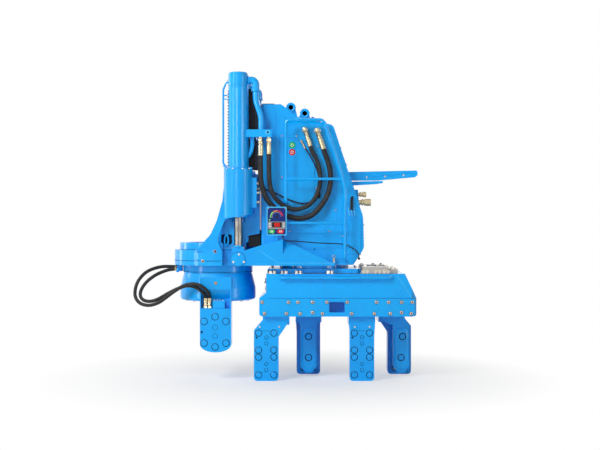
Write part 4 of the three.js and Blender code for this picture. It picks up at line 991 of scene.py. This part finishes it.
def lug_details():
    """Two pipe stubs that feed the chuck hoses through the lug under the deck."""
    stubs, nuts = Shape(), Shape()
    for y, z in ((0.02, 0.966), (-0.02, 0.948)):
        stubs.lathe((-1.034, y, z), FORWARD, mm((18.5, -3), (18.5, 3), (16.5, 6)), 20)
        nuts.lathe((-1.038, y, z), FORWARD, mm((15, 0), (17.8, 2), (17.8, 20), (16, 24)), HEX, 0.3)
    stubs.lathe((-1.01, -0.052, 0.952), (-0.75, -0.2, -0.62), mm(
        (14, -20), (14, 30), (11, 33), (11, 40), (7, 43)), 20)
    stubs.piece("lug_stubs", BLUE, "chuck_frame", angle=38)
    nuts.piece("lug_hose_nuts", ZINC, "chuck_frame", angle=38)


chuck_details()
chuck_fitting_details()
chuck_jaw_details()
frame_details()
shackle_details()
sensor_details()
pipe_details()
bracket_fitting_details()
lug_details()

# ---------------------------------------------------------------- mast

MAST_SIDE = 0.285
ARM_SIDE = 0.405
LOCK_PIN_X = 0.33
MAST_FRONT_EDGE = [(-0.06, 1.262), (0.268, 1.262), (0.322, 1.286), (0.338, 1.33), (0.356, 1.5), (0.35, 1.56)]
MAST_COVER_SCREWS = ((0.2905, ((-0.1132, 2.0975), (-0.1132, 1.745))), (0.2885, ((0.011, 2.0975),)),
                     (0.2855, ((0.1935, 2.01), (0.181, 1.652), (0.3475, 1.4635), (0.292, 1.281),
                               (-0.047, 1.281), (0.405, 1.24))))
MAST_ELBOWS = (((0.189, -0.322, 2.142), (0.2425, -0.33, 1.981), 0.0238),
               ((0.082, -0.322, 2.15), (0.1294, -0.33, 2.007), 0.0205))


def edge_line(shape, points, side, width=0.006, rise=0.0022, depth=MAST_SIDE):
    path = []
    for (x0, z0), (x1, z1) in zip(points, points[1:]):
        for step in range(4):
            path.append((x0 + (x1 - x0) * step / 4, z0 + (z1 - z0) * step / 4))
    path.append(points[-1])
    line_on(shape, path, width, rise, side, depth)


def mast_covers(word, side):
    """Thin plates on the mast's side: two strips in front, one low at the rear and a large one."""
    cover = Shape()
    near = side * 0.2835
    cover.prism(box_outline(-0.13, 1.728, -0.098, 2.112, 0.012, 0.012, 0.008, 0.008), near, side * 0.2905)
    cover.prism(box_outline(-0.098, 2.082, 0.022, 2.112, 0.002, 0.006, 0.006, 0.002), near, side * 0.2885)
    cover.prism(rounded([(0.437, 1.085, 0.012), (0.556, 1.085, 0.02), (0.573, 1.39, 0.012),
                         (0.455, 1.39, 0.012)]), near, side * 0.291)
    cover.prism(rounded([(-0.09, 1.296, 0.03), (0.15, 1.296, 0.12), (0.166, 1.54, 0.06), (0.166, 1.85, 0.08),
                         (0.03, 2.06, 0.02), (-0.09, 2.06, 0.012)], 6), near, side * 0.2895)
    cover.piece("mast_covers_" + word, BLUE, "mast", 0.0022)


def mast_panel_details():
    for word, side in SIDES:
        mast_covers(word, side)
        edges, screws, louvres = Shape(), Shape(), Shape()
        edge_line(edges, [(-0.167, 2.345), (-0.167, 1.24)], side, 0.01, 0.003)
        edge_line(edges, MAST_FRONT_EDGE, side)
        edge_line(edges, [(0.35, 1.56), (0.312, 1.64)], side)
        edges.piece("mast_edge_ribs_" + word, BLUE, "mast", angle=60)
        for y, places in MAST_COVER_SCREWS:
            for x, z in places:
                cap_screw(screws, (x, side * y, z), (0, side, 0), 0.0058, 0.004)
        screws.piece("mast_cover_screws_" + word, BRONZE, "mast", angle=38)
        # The louvres' pale blue is a painted highlight on them.
        for x in (0.462, 0.484, 0.506):
            slat = [(x, 1.412, 0.004), (x + 0.01, 1.412, 0.004), (x - 0.002, 1.486, 0.004),
                    (x - 0.012, 1.486, 0.004)]
            louvres.prism(rounded(slat), side * 0.284, side * 0.293)
        louvres.piece("mast_louvres_highlight_" + word, PALE_BLUE, "mast", 0.0014)


def mast_badges():
    """Start and stop marks on the mast's left side: plain round discs, each with a pale ring."""
    for name, z, look in (("start_mark", 2.0196, GREEN), ("stop_mark", 1.9587, RED)):
        disc, middle = Shape(), Shape()
        disc.lathe((-0.0258, -0.2893, z), NEARWARD, mm((27.5, 0), (27.5, 1.2), (26.8, 1.6)), 36)
        disc.piece(name, look, "mast", angle=50)
        middle.lathe((-0.0258, -0.2908, z), NEARWARD, mm((13.5, 0), (13.5, 0.6), (8.5, 0.8), (8.5, 0)), 28)
        middle.piece(name + "_ring", CREAM, "mast", angle=50)


def eye_rim(shape, x, z, side):
    shape.lathe((x, side * 0.243, z), (0, side, 0), mm((39.5, -2), (39.5, 3), (28, 4), (21, 1), (20.5, -2)),
                32)


def mast_top_details():
    caps, rims, bolts = Shape(), Shape(), Shape()
    for side in (NEAR, FAR):
        caps.prism(rounded([(-0.286, 2.369, 0.004), (-0.176, 2.369, 0.004), (-0.18, 2.376, 0.003),
                            (-0.282, 2.376, 0.003)]), side * 0.172, side * 0.278)
        eye_rim(rims, -0.037, 2.347, side)
        eye_rim(rims, 0.082, 2.296, side)
    caps.piece("mast_column_caps", BLACK, "mast", 0.0015)
    rims.piece("lifting_eye_rims", BLUE, "mast", angle=38)
    for x, z in ((0.15, 2.256), (0.205, 2.231), (0.257, 2.205)):
        for y in (-0.18, 0.18):
            hex_bolt(bolts, (x, y, z), (0.42, 0, 0.9), 0.014, 0.012)
    bolts.piece("mast_top_bolts", CAST_BLUE, "mast", angle=35)


def arm_details():
    for word, side in SIDES:
        out = (0, side, 0)
        ridge, crease, bolts, lock, socket = Shape(), Shape(), Shape(), Shape(), Shape()
        # The pale line along the arm is a painted highlight on its ridge.
        line_on(ridge, [(-0.3, 1.118), (-0.145, 1.013), (0.33, 1.013)], 0.0055, 0.0014, side, ARM_SIDE)
        ridge.piece("arm_ridge_highlight_" + word, PALE_BLUE, "mast", 0.0006)
        # A dark ring and a dark dimple: painted shade in a crease round the barrel's axis and in a small
        # hole.
        ring(crease, (BARREL_X, side * ARM_SIDE, 1.045), out, 0.059, 0.0612, 0.001)
        crease.lathe((0.1645, side * 0.4045, 1.128), out, mm((6.5, 0), (6.5, 1), (2, 1.2)), 16)
        crease.piece("arm_crease_" + word, GAP_SHADE, "mast", angle=50)
        for x, z in ((-0.4748, 1.0863), (-0.5225, 1.0225), (-0.4342, 1.0225)):
            cap_screw(bolts, (x, side * 0.413, z), out, 0.0088, 0.0055)
        bolts.piece("rod_pin_screws_" + word, BOLT, "mast", angle=38)
        lock.tube([(LOCK_PIN_X, side * 0.318, 0.998), (LOCK_PIN_X, side * 0.318, 1.052)], 0.0095, 16)
        lock.tube(upright_loop((LOCK_PIN_X, side * 0.318, 1.064), 0.0115, 0.0115, 18), 0.0026, 8)
        lock.piece("lock_pin_" + word, ZINC, "mast", angle=45)
        socket.prism(box_outline(0.31, 0.9965, 0.35, 1.013, 0.004), side * 0.285, side * 0.332)
        socket.piece("lock_pin_socket_" + word, BLUE, "mast", 0.002)


def mast_fitting_details():
    """Elbow hose ends turned out of the mast's side, and the small one beside them."""
    shape = Shape()
    for top, low, radius in MAST_ELBOWS:
        top, low = Vector(top), Vector(low)
        down = (low - top).normalized()
        foot = shares(radius, (1.25, -0.002), (1.25, 0.01), (1, 0.013), (1, 0.02))
        shape.lathe((top.x, -MAST_SIDE, top.z), NEARWARD, foot, HEX, 0.2)
        elbow = shares(radius, (0.98, 0), (1.02, 0.01), (1.02, 0.034), (0.8, 0.043), (0.3, 0.0465),
                       (0, 0.047))
        shape.lathe((top.x, -0.3, top.z), NEARWARD, elbow, 26)
        base = hose_end(shape, top + down * radius * 0.5, down, radius, 0.3)
        ferrule(shape, base, low, radius)
    shape.lathe((0.0513, -0.303, 2.0537), (0.035, 0, -0.0685), mm(
        (7.5, 0), (9.5, 2), (9.5, 14), (6, 16), (6, 24), (8.5, 26), (8.5, 40), (6.5, 42), (6.5, 55),
        (7.8, 57), (7.8, 74)), 16)
    shape.lathe((0.0513, -0.2848, 2.0537), NEARWARD, mm((11, -1), (11, 8), (8, 10), (8, 22), (4, 25)),
                HEX, 0.3)
    made = shape.piece("mast_hose_ends", ZINC, "mast", angle=34)
    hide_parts("mast_fittings")


def hanger_details():
    """Turned-down lips that make channels of the hose hangers, and the couplings' hexagons."""
    lips, bolts, parts = Shape(), Shape(), Shape()
    for y in (-0.1535, -0.0915):
        lips.prism([(0.56, 1.742), (1.012, 1.786), (1.012, 1.792), (0.56, 1.749)], y, y + 0.005)
    for x in (0.62, 0.78, 0.94):
        hex_bolt(bolts, (x, -0.15, 1.746 + (x - 0.56) * 0.055), NEARWARD, 0.007, 0.005)
    lips.piece("hanger_lips", BLUE, "mast", 0.001)
    bolts.piece("hanger_bolts", BOLT, "mast", angle=35)
    for z, radius, start, end in ((1.6, 0.0225, 0.518, 0.618), (1.533, 0.0305, 0.535, 0.658)):
        reach = end - start
        nut = shares(radius, (0.8, -0.02), (0.8, 0.004), (1, 0.006), (1, 0.026), (0.9, 0.029))
        parts.lathe((start, -0.17, z), BACK, nut, HEX, 0.2)
        barrel = shares(radius, (0.7, 0), (0.7, 0.01), (0.98, 0.013), (0.98, 0.024), (0.72, 0.027),
                        (0.72, 0.034), (1.08, 0.037), (1.08, reach - 0.036), (1, reach - 0.031),
                        (0.62, reach - 0.03), (0.55, reach - 0.045), (0, reach - 0.046))
        parts.lathe((start + 0.028, -0.17, z), BACK, barrel, 26)
    made = parts.piece("rear_coupling_parts", ZINC, "mast", angle=34)
    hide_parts("rear_coupling_upper", "rear_coupling_lower")


mast_panel_details()
mast_badges()
mast_top_details()
arm_details()
mast_fitting_details()
hanger_details()

# ---------------------------------------------------------------- indicator panel

PANEL_FACE = -0.43
PANEL_LEFT, PANEL_RIGHT = -0.2405, -0.0715
PANEL_LOW, PANEL_HIGH = 1.247, 1.489
DIAL_CENTRE = (-0.1565, 1.404)
DIAL_BANDS = ((188, 126, "green", LIME), (124, 84, "orange", ORANGE), (82, 6, "red", RED))


def dial_band(start, end, inner, outer):
    """Outline of a band round the dial, in degrees."""
    steps = max(4, int(abs(end - start) / 6))
    out = []
    for radius, order in ((outer, range(steps + 1)), (inner, range(steps, -1, -1))):
        for step in order:
            angle = math.radians(start + (end - start) * step / steps)
            out.append((DIAL_CENTRE[0] + radius * math.cos(angle), DIAL_CENTRE[1] + radius * math.sin(angle)))
    return out


def dial_bar(angle, inner, outer, inner_half, outer_half):
    """Straight bar along a radius of the dial, as wide at each end as given."""
    along = Vector((math.cos(angle), math.sin(angle)))
    across = Vector((-along.y, along.x))
    centre = Vector(DIAL_CENTRE)
    return [tuple(centre + along * reach + across * half) for reach, half in (
        (inner, inner_half), (inner, -inner_half), (outer, -outer_half), (outer, outer_half))]


def over_film(sunk, proud):
    """Near and far Y of a flat shape, given how far both lie in front of the panel's face."""
    return PANEL_FACE - sunk, PANEL_FACE - proud


def panel_outline(inset, corner):
    return box_outline(PANEL_LEFT + inset, PANEL_LOW + inset, PANEL_RIGHT - inset, PANEL_HIGH - inset, corner)


def panel_housing():
    housing, film = Shape(), Shape()
    housing.strip(panel_outline(0, 0.01), panel_outline(0.008, 0.006), *over_film(-0.052, 0.004))
    housing.prism(panel_outline(0.001, 0.01), *over_film(-0.0545, -0.003))
    housing.piece("panel_housing", PALE_BLUE, "mast", 0.0014)
    film.prism(panel_outline(0.0079, 0.006), *over_film(-0.0035, 0.0012))
    made = film.piece("panel_film", NAVY, "mast", 0.0005)
    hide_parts("indicator_panel")


def panel_dial():
    """Coloured bands, ticks and needle of the dial, without figures."""
    for start, end, word, look in DIAL_BANDS:
        band = Shape()
        band.prism(dial_band(start, end, 0.0455, 0.0545), *over_film(0.001, 0.0022))
        band.piece("dial_band_" + word, look, "mast", 0.0002)
    ticks, needle = Shape(), Shape()
    for step in range(11):
        angle = math.radians(188 - 18.2 * step)
        ticks.prism(dial_bar(angle, 0.034, 0.041, 0.0012, 0.0012), *over_film(0.001, 0.0019))
    ticks.prism(box_outline(-0.196, 1.261, -0.18, 1.2645, 0.0005), *over_film(0.001, 0.0019))
    ticks.piece("dial_ticks", CREAM, "mast", angle=50)
    needle.prism(dial_bar(math.pi / 2, -0.01, 0.03, 0.004, 0.0012), *over_film(0.001, 0.0024))
    hub = (DIAL_CENTRE[0], PANEL_FACE - 0.001, DIAL_CENTRE[1])
    needle.lathe(hub, NEARWARD, mm((10, 0), (10, 3), (8, 3.6)), 24)
    needle.piece("dial_needle", BLACK, "mast", 0.0003)


def panel_display():
    """Bezel, dark well, blank red digits and the pale marks beside them."""
    bezel, well, digits, marks = Shape(), Shape(), Shape(), Shape()
    bezel.strip(box_outline(-0.229, 1.3, -0.083, 1.364, 0.004),
                box_outline(-0.196, 1.314, -0.112, 1.358, 0.003), *over_film(0.0005, 0.004))
    bezel.piece("display_bezel", GREY, "mast", 0.0006)
    well.prism(box_outline(-0.1965, 1.3135, -0.1115, 1.3585, 0.003), *over_film(0.0005, 0.0018))
    well.piece("display_well", BLACK, "mast", 0.0002)
    for left in (-0.175, -0.15):
        outer = box_outline(left, 1.3215, left + 0.019, 1.3515, 0.002)
        inner = box_outline(left + 0.005, 1.3265, left + 0.014, 1.3465, 0.001)
        digits.strip(outer, inner, *over_film(0.0016, 0.0026))
        digits.prism(box_outline(left + 0.004, 1.3345, left + 0.015, 1.3385, 0.0008),
                     *over_film(0.0016, 0.0026))
    digits.piece("display_digits", LAMP, "mast", 0.0002)
    for z in (1.318, 1.332, 1.346):
        for left, right in ((-0.222, -0.204), (-0.104, -0.09)):
            marks.prism(box_outline(left, z, right, z + 0.006, 0.001), *over_film(0.0038, 0.0046))
    marks.piece("display_side_marks", CREAM, "mast", 0.0002)


def panel_keys():
    for left, word, look in ((-0.2265, "green", GREEN), (-0.1515, "red", RED)):
        key, mark = Shape(), Shape()
        key.prism(box_outline(left, 1.2635, left + 0.056, 1.2965, 0.0155), *over_film(0.0005, 0.0048))
        key.piece("panel_key_" + word, look, "mast", 0.0014)
        outer = box_outline(left + 0.018, 1.2735, left + 0.04, 1.2875, 0.003)
        inner = box_outline(left + 0.023, 1.2775, left + 0.035, 1.2835, 0.001)
        mark.strip(outer, inner, *over_film(0.0046, 0.0055))
        mark.piece("panel_key_mark_" + word, CREAM, "mast", 0.0002)


def panel_fixings():
    """Pilot lamp, screws and cable gland."""
    pilot, screws, gland = Shape(), Shape(), Shape()
    pilot.lathe((-0.2155, PANEL_FACE - 0.001, 1.3785), NEARWARD, mm((6.5, 0), (6.5, 2), (4, 3.5)), 20)
    pilot.piece("panel_pilot_lamp", LIME, "mast", angle=50)
    for x in (PANEL_LEFT + 0.0145, PANEL_RIGHT - 0.0145):
        cap_screw(screws, (x, PANEL_FACE - 0.001, PANEL_HIGH - 0.0145), NEARWARD, 0.0034, 0.0022)
    for x in (PANEL_LEFT + 0.02, PANEL_RIGHT - 0.02):
        for z in (PANEL_LOW + 0.03, PANEL_HIGH - 0.03):
            cap_screw(screws, (x, PANEL_FACE + 0.0543, z), (0, 1, 0), 0.005, 0.003)
    screws.piece("panel_screws", BOLT, "mast", angle=40)
    gland.lathe((-0.105, -0.402, PANEL_LOW + 0.001), DOWN, mm(
        (11, 0), (11, 6), (8.5, 8), (8.5, 15), (5.5, 17)), HEX, 0.2)
    gland.piece("panel_cable_gland", BLACK, "mast", angle=40)


def panel_details():
    panel_housing()
    panel_dial()
    panel_display()
    panel_keys()
    panel_fixings()


# ---------------------------------------------------------------- thin lines

PANEL_CABLE = [(-0.105, -0.402, 1.238), (-0.1023, -0.4015, 1.223), (-0.0945, -0.3995, 1.2105),
               (-0.0825, -0.396, 1.2022), (-0.068, -0.391, 1.199), (-0.04, -0.3835, 1.1985),
               (0.0, -0.374, 1.1975), (0.06, -0.362, 1.1935), (0.13, -0.35, 1.187), (0.21, -0.339, 1.1815),
               (0.29, -0.33, 1.178), (0.36, -0.323, 1.1755), (0.415, -0.317, 1.169), (0.46, -0.311, 1.154),
               (0.5, -0.305, 1.131), (0.53, -0.3, 1.105), (0.543, -0.297, 1.078), (0.546, -0.2935, 1.06),
               (0.546, -0.29, 1.048)]
PILOT_HOSE = [(-0.3, -0.303, 1.645), (-0.282, -0.303, 1.643), (-0.24, -0.303, 1.632), (-0.19, -0.303, 1.616),
             (-0.14, -0.303, 1.594), (-0.09, -0.303, 1.57), (-0.04, -0.303, 1.546), (0.01, -0.303, 1.529),
             (0.06, -0.303, 1.521), (0.105, -0.303, 1.525), (0.145, -0.303, 1.543), (0.176, -0.303, 1.575),
             (0.196, -0.303, 1.62), (0.205, -0.303, 1.675), (0.202, -0.303, 1.735), (0.189, -0.303, 1.795),
             (0.168, -0.303, 1.85), (0.143, -0.303, 1.899), (0.118, -0.303, 1.942), (0.098, -0.303, 1.974),
             (0.088, -0.303, 1.99)]
DRAIN_PIPE = [(0.534, -0.2, 1.578), (0.512, -0.24, 1.582), (0.492, -0.274, 1.576), (0.484, -0.2965, 1.552),
              (0.483, -0.2985, 1.515), (0.483, -0.297, 1.482), (0.483, -0.288, 1.468)]
THIN_STEPS = 60


def thin_cord(name, points, radius, look, body):
    path, length = smooth_path(points, THIN_STEPS)
    made = Shape().tube(path, radius, 10).piece(name, look, body)
    return made, path, length


def thin_lines():
    made, path, length = thin_cord("panel_cable", PANEL_CABLE, 0.0042, BLACK, "mast")
    made, path, length = thin_cord("pilot_hose", PILOT_HOSE, 0.0055, RUBBER, None)
    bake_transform(made)
    nut, clips = Shape(), Shape()
    nut.lathe((-0.33, -0.303, 1.645), BACK, mm((12, -6), (12, 6), (8, 8), (8, 14), (9.8, 16), (9.8, 30),
                                               (7.5, 32)), HEX, 0.2)
    nut.piece("pilot_hose_end", ZINC, "chuck_frame", angle=34)
    clips.lathe((0.546, -0.2845, 1.048), NEARWARD, mm((12, -1), (12, 6), (7.5, 10)), HEX, 0.1)
    clips.prism(box_outline(0.195, 1.5665, 0.216, 1.65, 0.003), -0.284, -0.2895)
    clips.piece("mast_line_clips", BLACK, "mast", 0.001)
    drain, _ = smooth_path(DRAIN_PIPE, 24)
    Shape().tube(drain, 0.0115, 14).piece("coupling_drain_pipe", BLACK, "mast")


# ---------------------------------------------------------------- ducts, guide shoes, rod eyes

ROD_EYE_HALF = 0.0272


def duct_details():
    for word, side in SIDES:
        duct, shoe, eye = Shape(), Shape(), Shape()
        # The duct's black is partly painted shade: it fills the dark between the barrel and the mast, as well
        # as standing for a black cable duct.
        duct.prism(rounded([(-0.399, 1.83, 0.004), (-0.338, 1.83, 0.004), (-0.338, 2.462, 0.012),
                            (-0.377, 2.5, 0.01), (-0.399, 2.5, 0.004)]), side * 0.25, side * 0.296)
        for step in range(22):
            z = 1.846 + step * 0.029
            duct.prism(box_outline(-0.4, z, -0.3365, z + 0.007, 0.001), side * 0.2485, side * 0.2975)
        duct.piece("cable_duct_" + word, BLACK, "chuck_frame", 0.0012)
        # The guide shoe's black is painted shade in the opening between the frame and the mast.
        shoe.prism(box_outline(-0.402, 1.15, -0.302, 1.29, 0.004), side * 0.18, side * 0.272)
        shoe.piece("guide_shoe_" + word, BLACK, "chuck_frame", 0.002)
        block = [(-0.5387, 1.03, 0.002), (-0.4303, 1.03, 0.002), (-0.4303, 1.132, 0.01),
                 (-0.444, 1.152, 0.01), (-0.524, 1.152, 0.01), (-0.5387, 1.132, 0.01)]
        eye.prism(rounded(block), side * (BARREL_Y - ROD_EYE_HALF), side * (BARREL_Y + ROD_EYE_HALF))
        eye.lathe((BARREL_X, side * BARREL_Y, 1.146), UP, mm((40.5, 0), (40.5, 12), (36.2, 16)), 28)
        eye.piece("rod_eye_" + word, BLUE, "mast", 0.0016)


# ---------------------------------------------------------------- slide base and slewing ring

SLEW_X = 0.165
SLEW_RING_RADIUS = 0.3005


def slide_details():
    bolts, seal, wipers = Shape(), Shape(), Shape()
    for step in range(24):
        swing = 2 * math.pi * (step + 0.5) / 24
        along, across = math.cos(swing), math.sin(swing)
        if abs(across) * SLEW_RING_RADIUS < 0.296:
            spot = (SLEW_X + SLEW_RING_RADIUS * along, SLEW_RING_RADIUS * across, 0.9735)
            cap_screw(bolts, spot, (along, across, 0), 0.0062, 0.003)
    for x in (-0.205, 0.535):
        for y in (-0.26, -0.13, 0.13, 0.26):
            hex_bolt(bolts, (x, y, 0.96), UP, 0.011, 0.009)
    bolts.piece("slew_ring_bolts", BOLT, "slide_base", angle=35)
    # The thin dark line round the slewing ring is painted shade in its joint.
    seal.tube(arc((SLEW_X, 0.0), 0.3004, 0, 360, 72, 0.9665), 0.0012, 6)
    seal.piece("slew_ring_seal", GAP_SHADE, "slide_base", angle=50, slot="dark_blue_paint")
    for side in (NEAR, FAR):
        wipers.prism(box_outline(-0.2375, 0.9255, -0.2325, 0.952, 0.002, 0.001, 0.001, 0.002), side * 0.14,
                     side * 0.285)
    wipers.piece("slide_wipers", BLACK, "slide_base", 0.0008)


# ---------------------------------------------------------------- rear and front faces of the mast

def behind(y, z):
    """X of the mast's rear face at a place seen from behind."""
    return tree_of("mast").ray_cast(Vector((2.0, y, z)), Vector(FORWARD))[0].x


def mast_back_details():
    cover, bolts, vents, block, plugs = Shape(), Shape(), Shape(), Shape(), Shape()
    for low, high in ((1.06, 1.36), (1.84, 2.02)):
        low_x, high_x = behind(0, low), behind(0, high)
        cover.prism([(low_x - 0.004, low), (low_x + 0.006, low + 0.006), (high_x + 0.006, high - 0.006),
                     (high_x - 0.004, high)], -0.2, 0.2)
    cover.piece("mast_rear_covers", BLUE, "mast", 0.003)
    for z in (1.085, 1.335, 1.858, 2.004):
        for y in (-0.18, 0.18):
            hex_bolt(bolts, (behind(y, z) + 0.005, y, z), (1, 0, 0.1), 0.009, 0.007)
    bolts.piece("mast_rear_bolts", BOLT, "mast", angle=35)
    for step in range(7):
        z = 1.13 + step * 0.028
        x = behind(0, z) + 0.006
        vents.prism([(x - 0.002, z), (x + 0.006, z + 0.004), (x + 0.006, z + 0.008),
                     (x - 0.002, z + 0.016)], -0.12, 0.12)
    vents.piece("mast_rear_vents", BLUE, "mast", 0.001)
    x = behind(-0.17, 1.566)
    outline = [(x - 0.01, 1.488, 0.004), (x + 0.022, 1.488, 0.006), (x + 0.012, 1.64, 0.006),
               (x - 0.02, 1.64, 0.004)]
    block.prism(rounded(outline), -0.228, -0.112)
    block.piece("rear_port_block", BLUE, "mast", 0.002)
    for z in (1.585, 1.52):
        base = behind(0.05, z)
        plugs.lathe((base, 0.05, z), BACK, mm((18, -4), (18, 10), (14, 14)), HEX, 0.3)
        plugs.lathe((base, 0.13, z), BACK, mm((14, -4), (14, 9), (11, 12)), HEX, 0.1)
    plugs.piece("rear_port_plugs", ZINC, "mast", angle=35)


panel_details()
thin_lines()
duct_details()
slide_details()
mast_back_details()

# ---------------------------------------------------------------- floor and light

FLOOR_HALF = 14



def stage_material():
    """Pale floor with the object's shadow, white to the camera further out."""
    n = Look("studio_floor")
    rays = n.add("ShaderNodeLightPath")
    grain = n.ramp(n.noise(3.0, 4.0), 0.3, 0.7, 0.9, 0.93)
    grey = n.add("ShaderNodeCombineColor", Red=grain, Green=grain, Blue=grain).outputs["Color"]
    n.fill(n.shader, Base_Color=grey, Roughness=0.9, Specular_IOR_Level=0.1)
    reach = n.add("ShaderNodeVectorMath", Vector=n.place)
    reach.operation = "LENGTH"
    far = n.ramp(reach.outputs["Value"], 0.5, 2.3, 0.45, 1.0)
    seen = n.seen(rays)
    white = n.add("ShaderNodeEmission")
    n.mix_out("Material Output", n.math("MULTIPLY", far, seen), n.shader, white)
    return n.material


def backdrop():
    """Floor, and a world that is white to the camera and dim to the surfaces."""
    floor = Shape().prism(box_outline(-FLOOR_HALF, -0.02, FLOOR_HALF, 0.0, 0), -FLOOR_HALF, FLOOR_HALF)
    floor.piece("studio_floor", stage_material(), None)
    scene.world = bpy.data.worlds.new("studio")
    scene.world.use_nodes = True
    n = Nodes(scene.world.node_tree)
    shade = n.fill(n.tree.nodes["Background"], Color=(0.9, 0.95, 1.0), Strength=0.1)
    white = n.add("ShaderNodeBackground", Color=(1, 1, 1), Strength=1.0)
    rays = n.add("ShaderNodeLightPath")
    n.mix_out("World Output", n.seen(rays), shade, white)


def lamp(name, place, aim, size, power):
    data = bpy.data.lights.new(name, "AREA")
    data.shape = "RECTANGLE"
    data.size, data.size_y = size
    data.energy = power
    made = bpy.data.objects.new(name, data)
    made.location = place
    made.rotation_euler = (Vector(aim) - Vector(place)).to_track_quat("-Z", "Y").to_euler()
    scene.collection.objects.link(made)


backdrop()
lamp("key", (-4.6, -6.2, 6.6), (0, 0, 1.2), (2.4, 2.4), 455)
lamp("near_strip", (-2.6, -8.4, 2.6), (-0.2, 0, 1.4), (0.7, 3.4), 60)
lamp("left_strip", (-6.9, -4.9, 2.2), (0, 0, 1.4), (1.2, 4.4), 150)
lamp("right_strip", (6.7, -5.2, 2.2), (0, 0, 1.4), (1.1, 4.4), 125)
lamp("rim", (2.0, 6.5, 5.0), (0, 0, 1.3), (4.0, 2.5), 120)
lamp("far_left", (-6.0, 2.0, 2.5), (0, 0, 1.2), (1.2, 3.5), 70)
scene.view_settings.view_transform = "Standard"
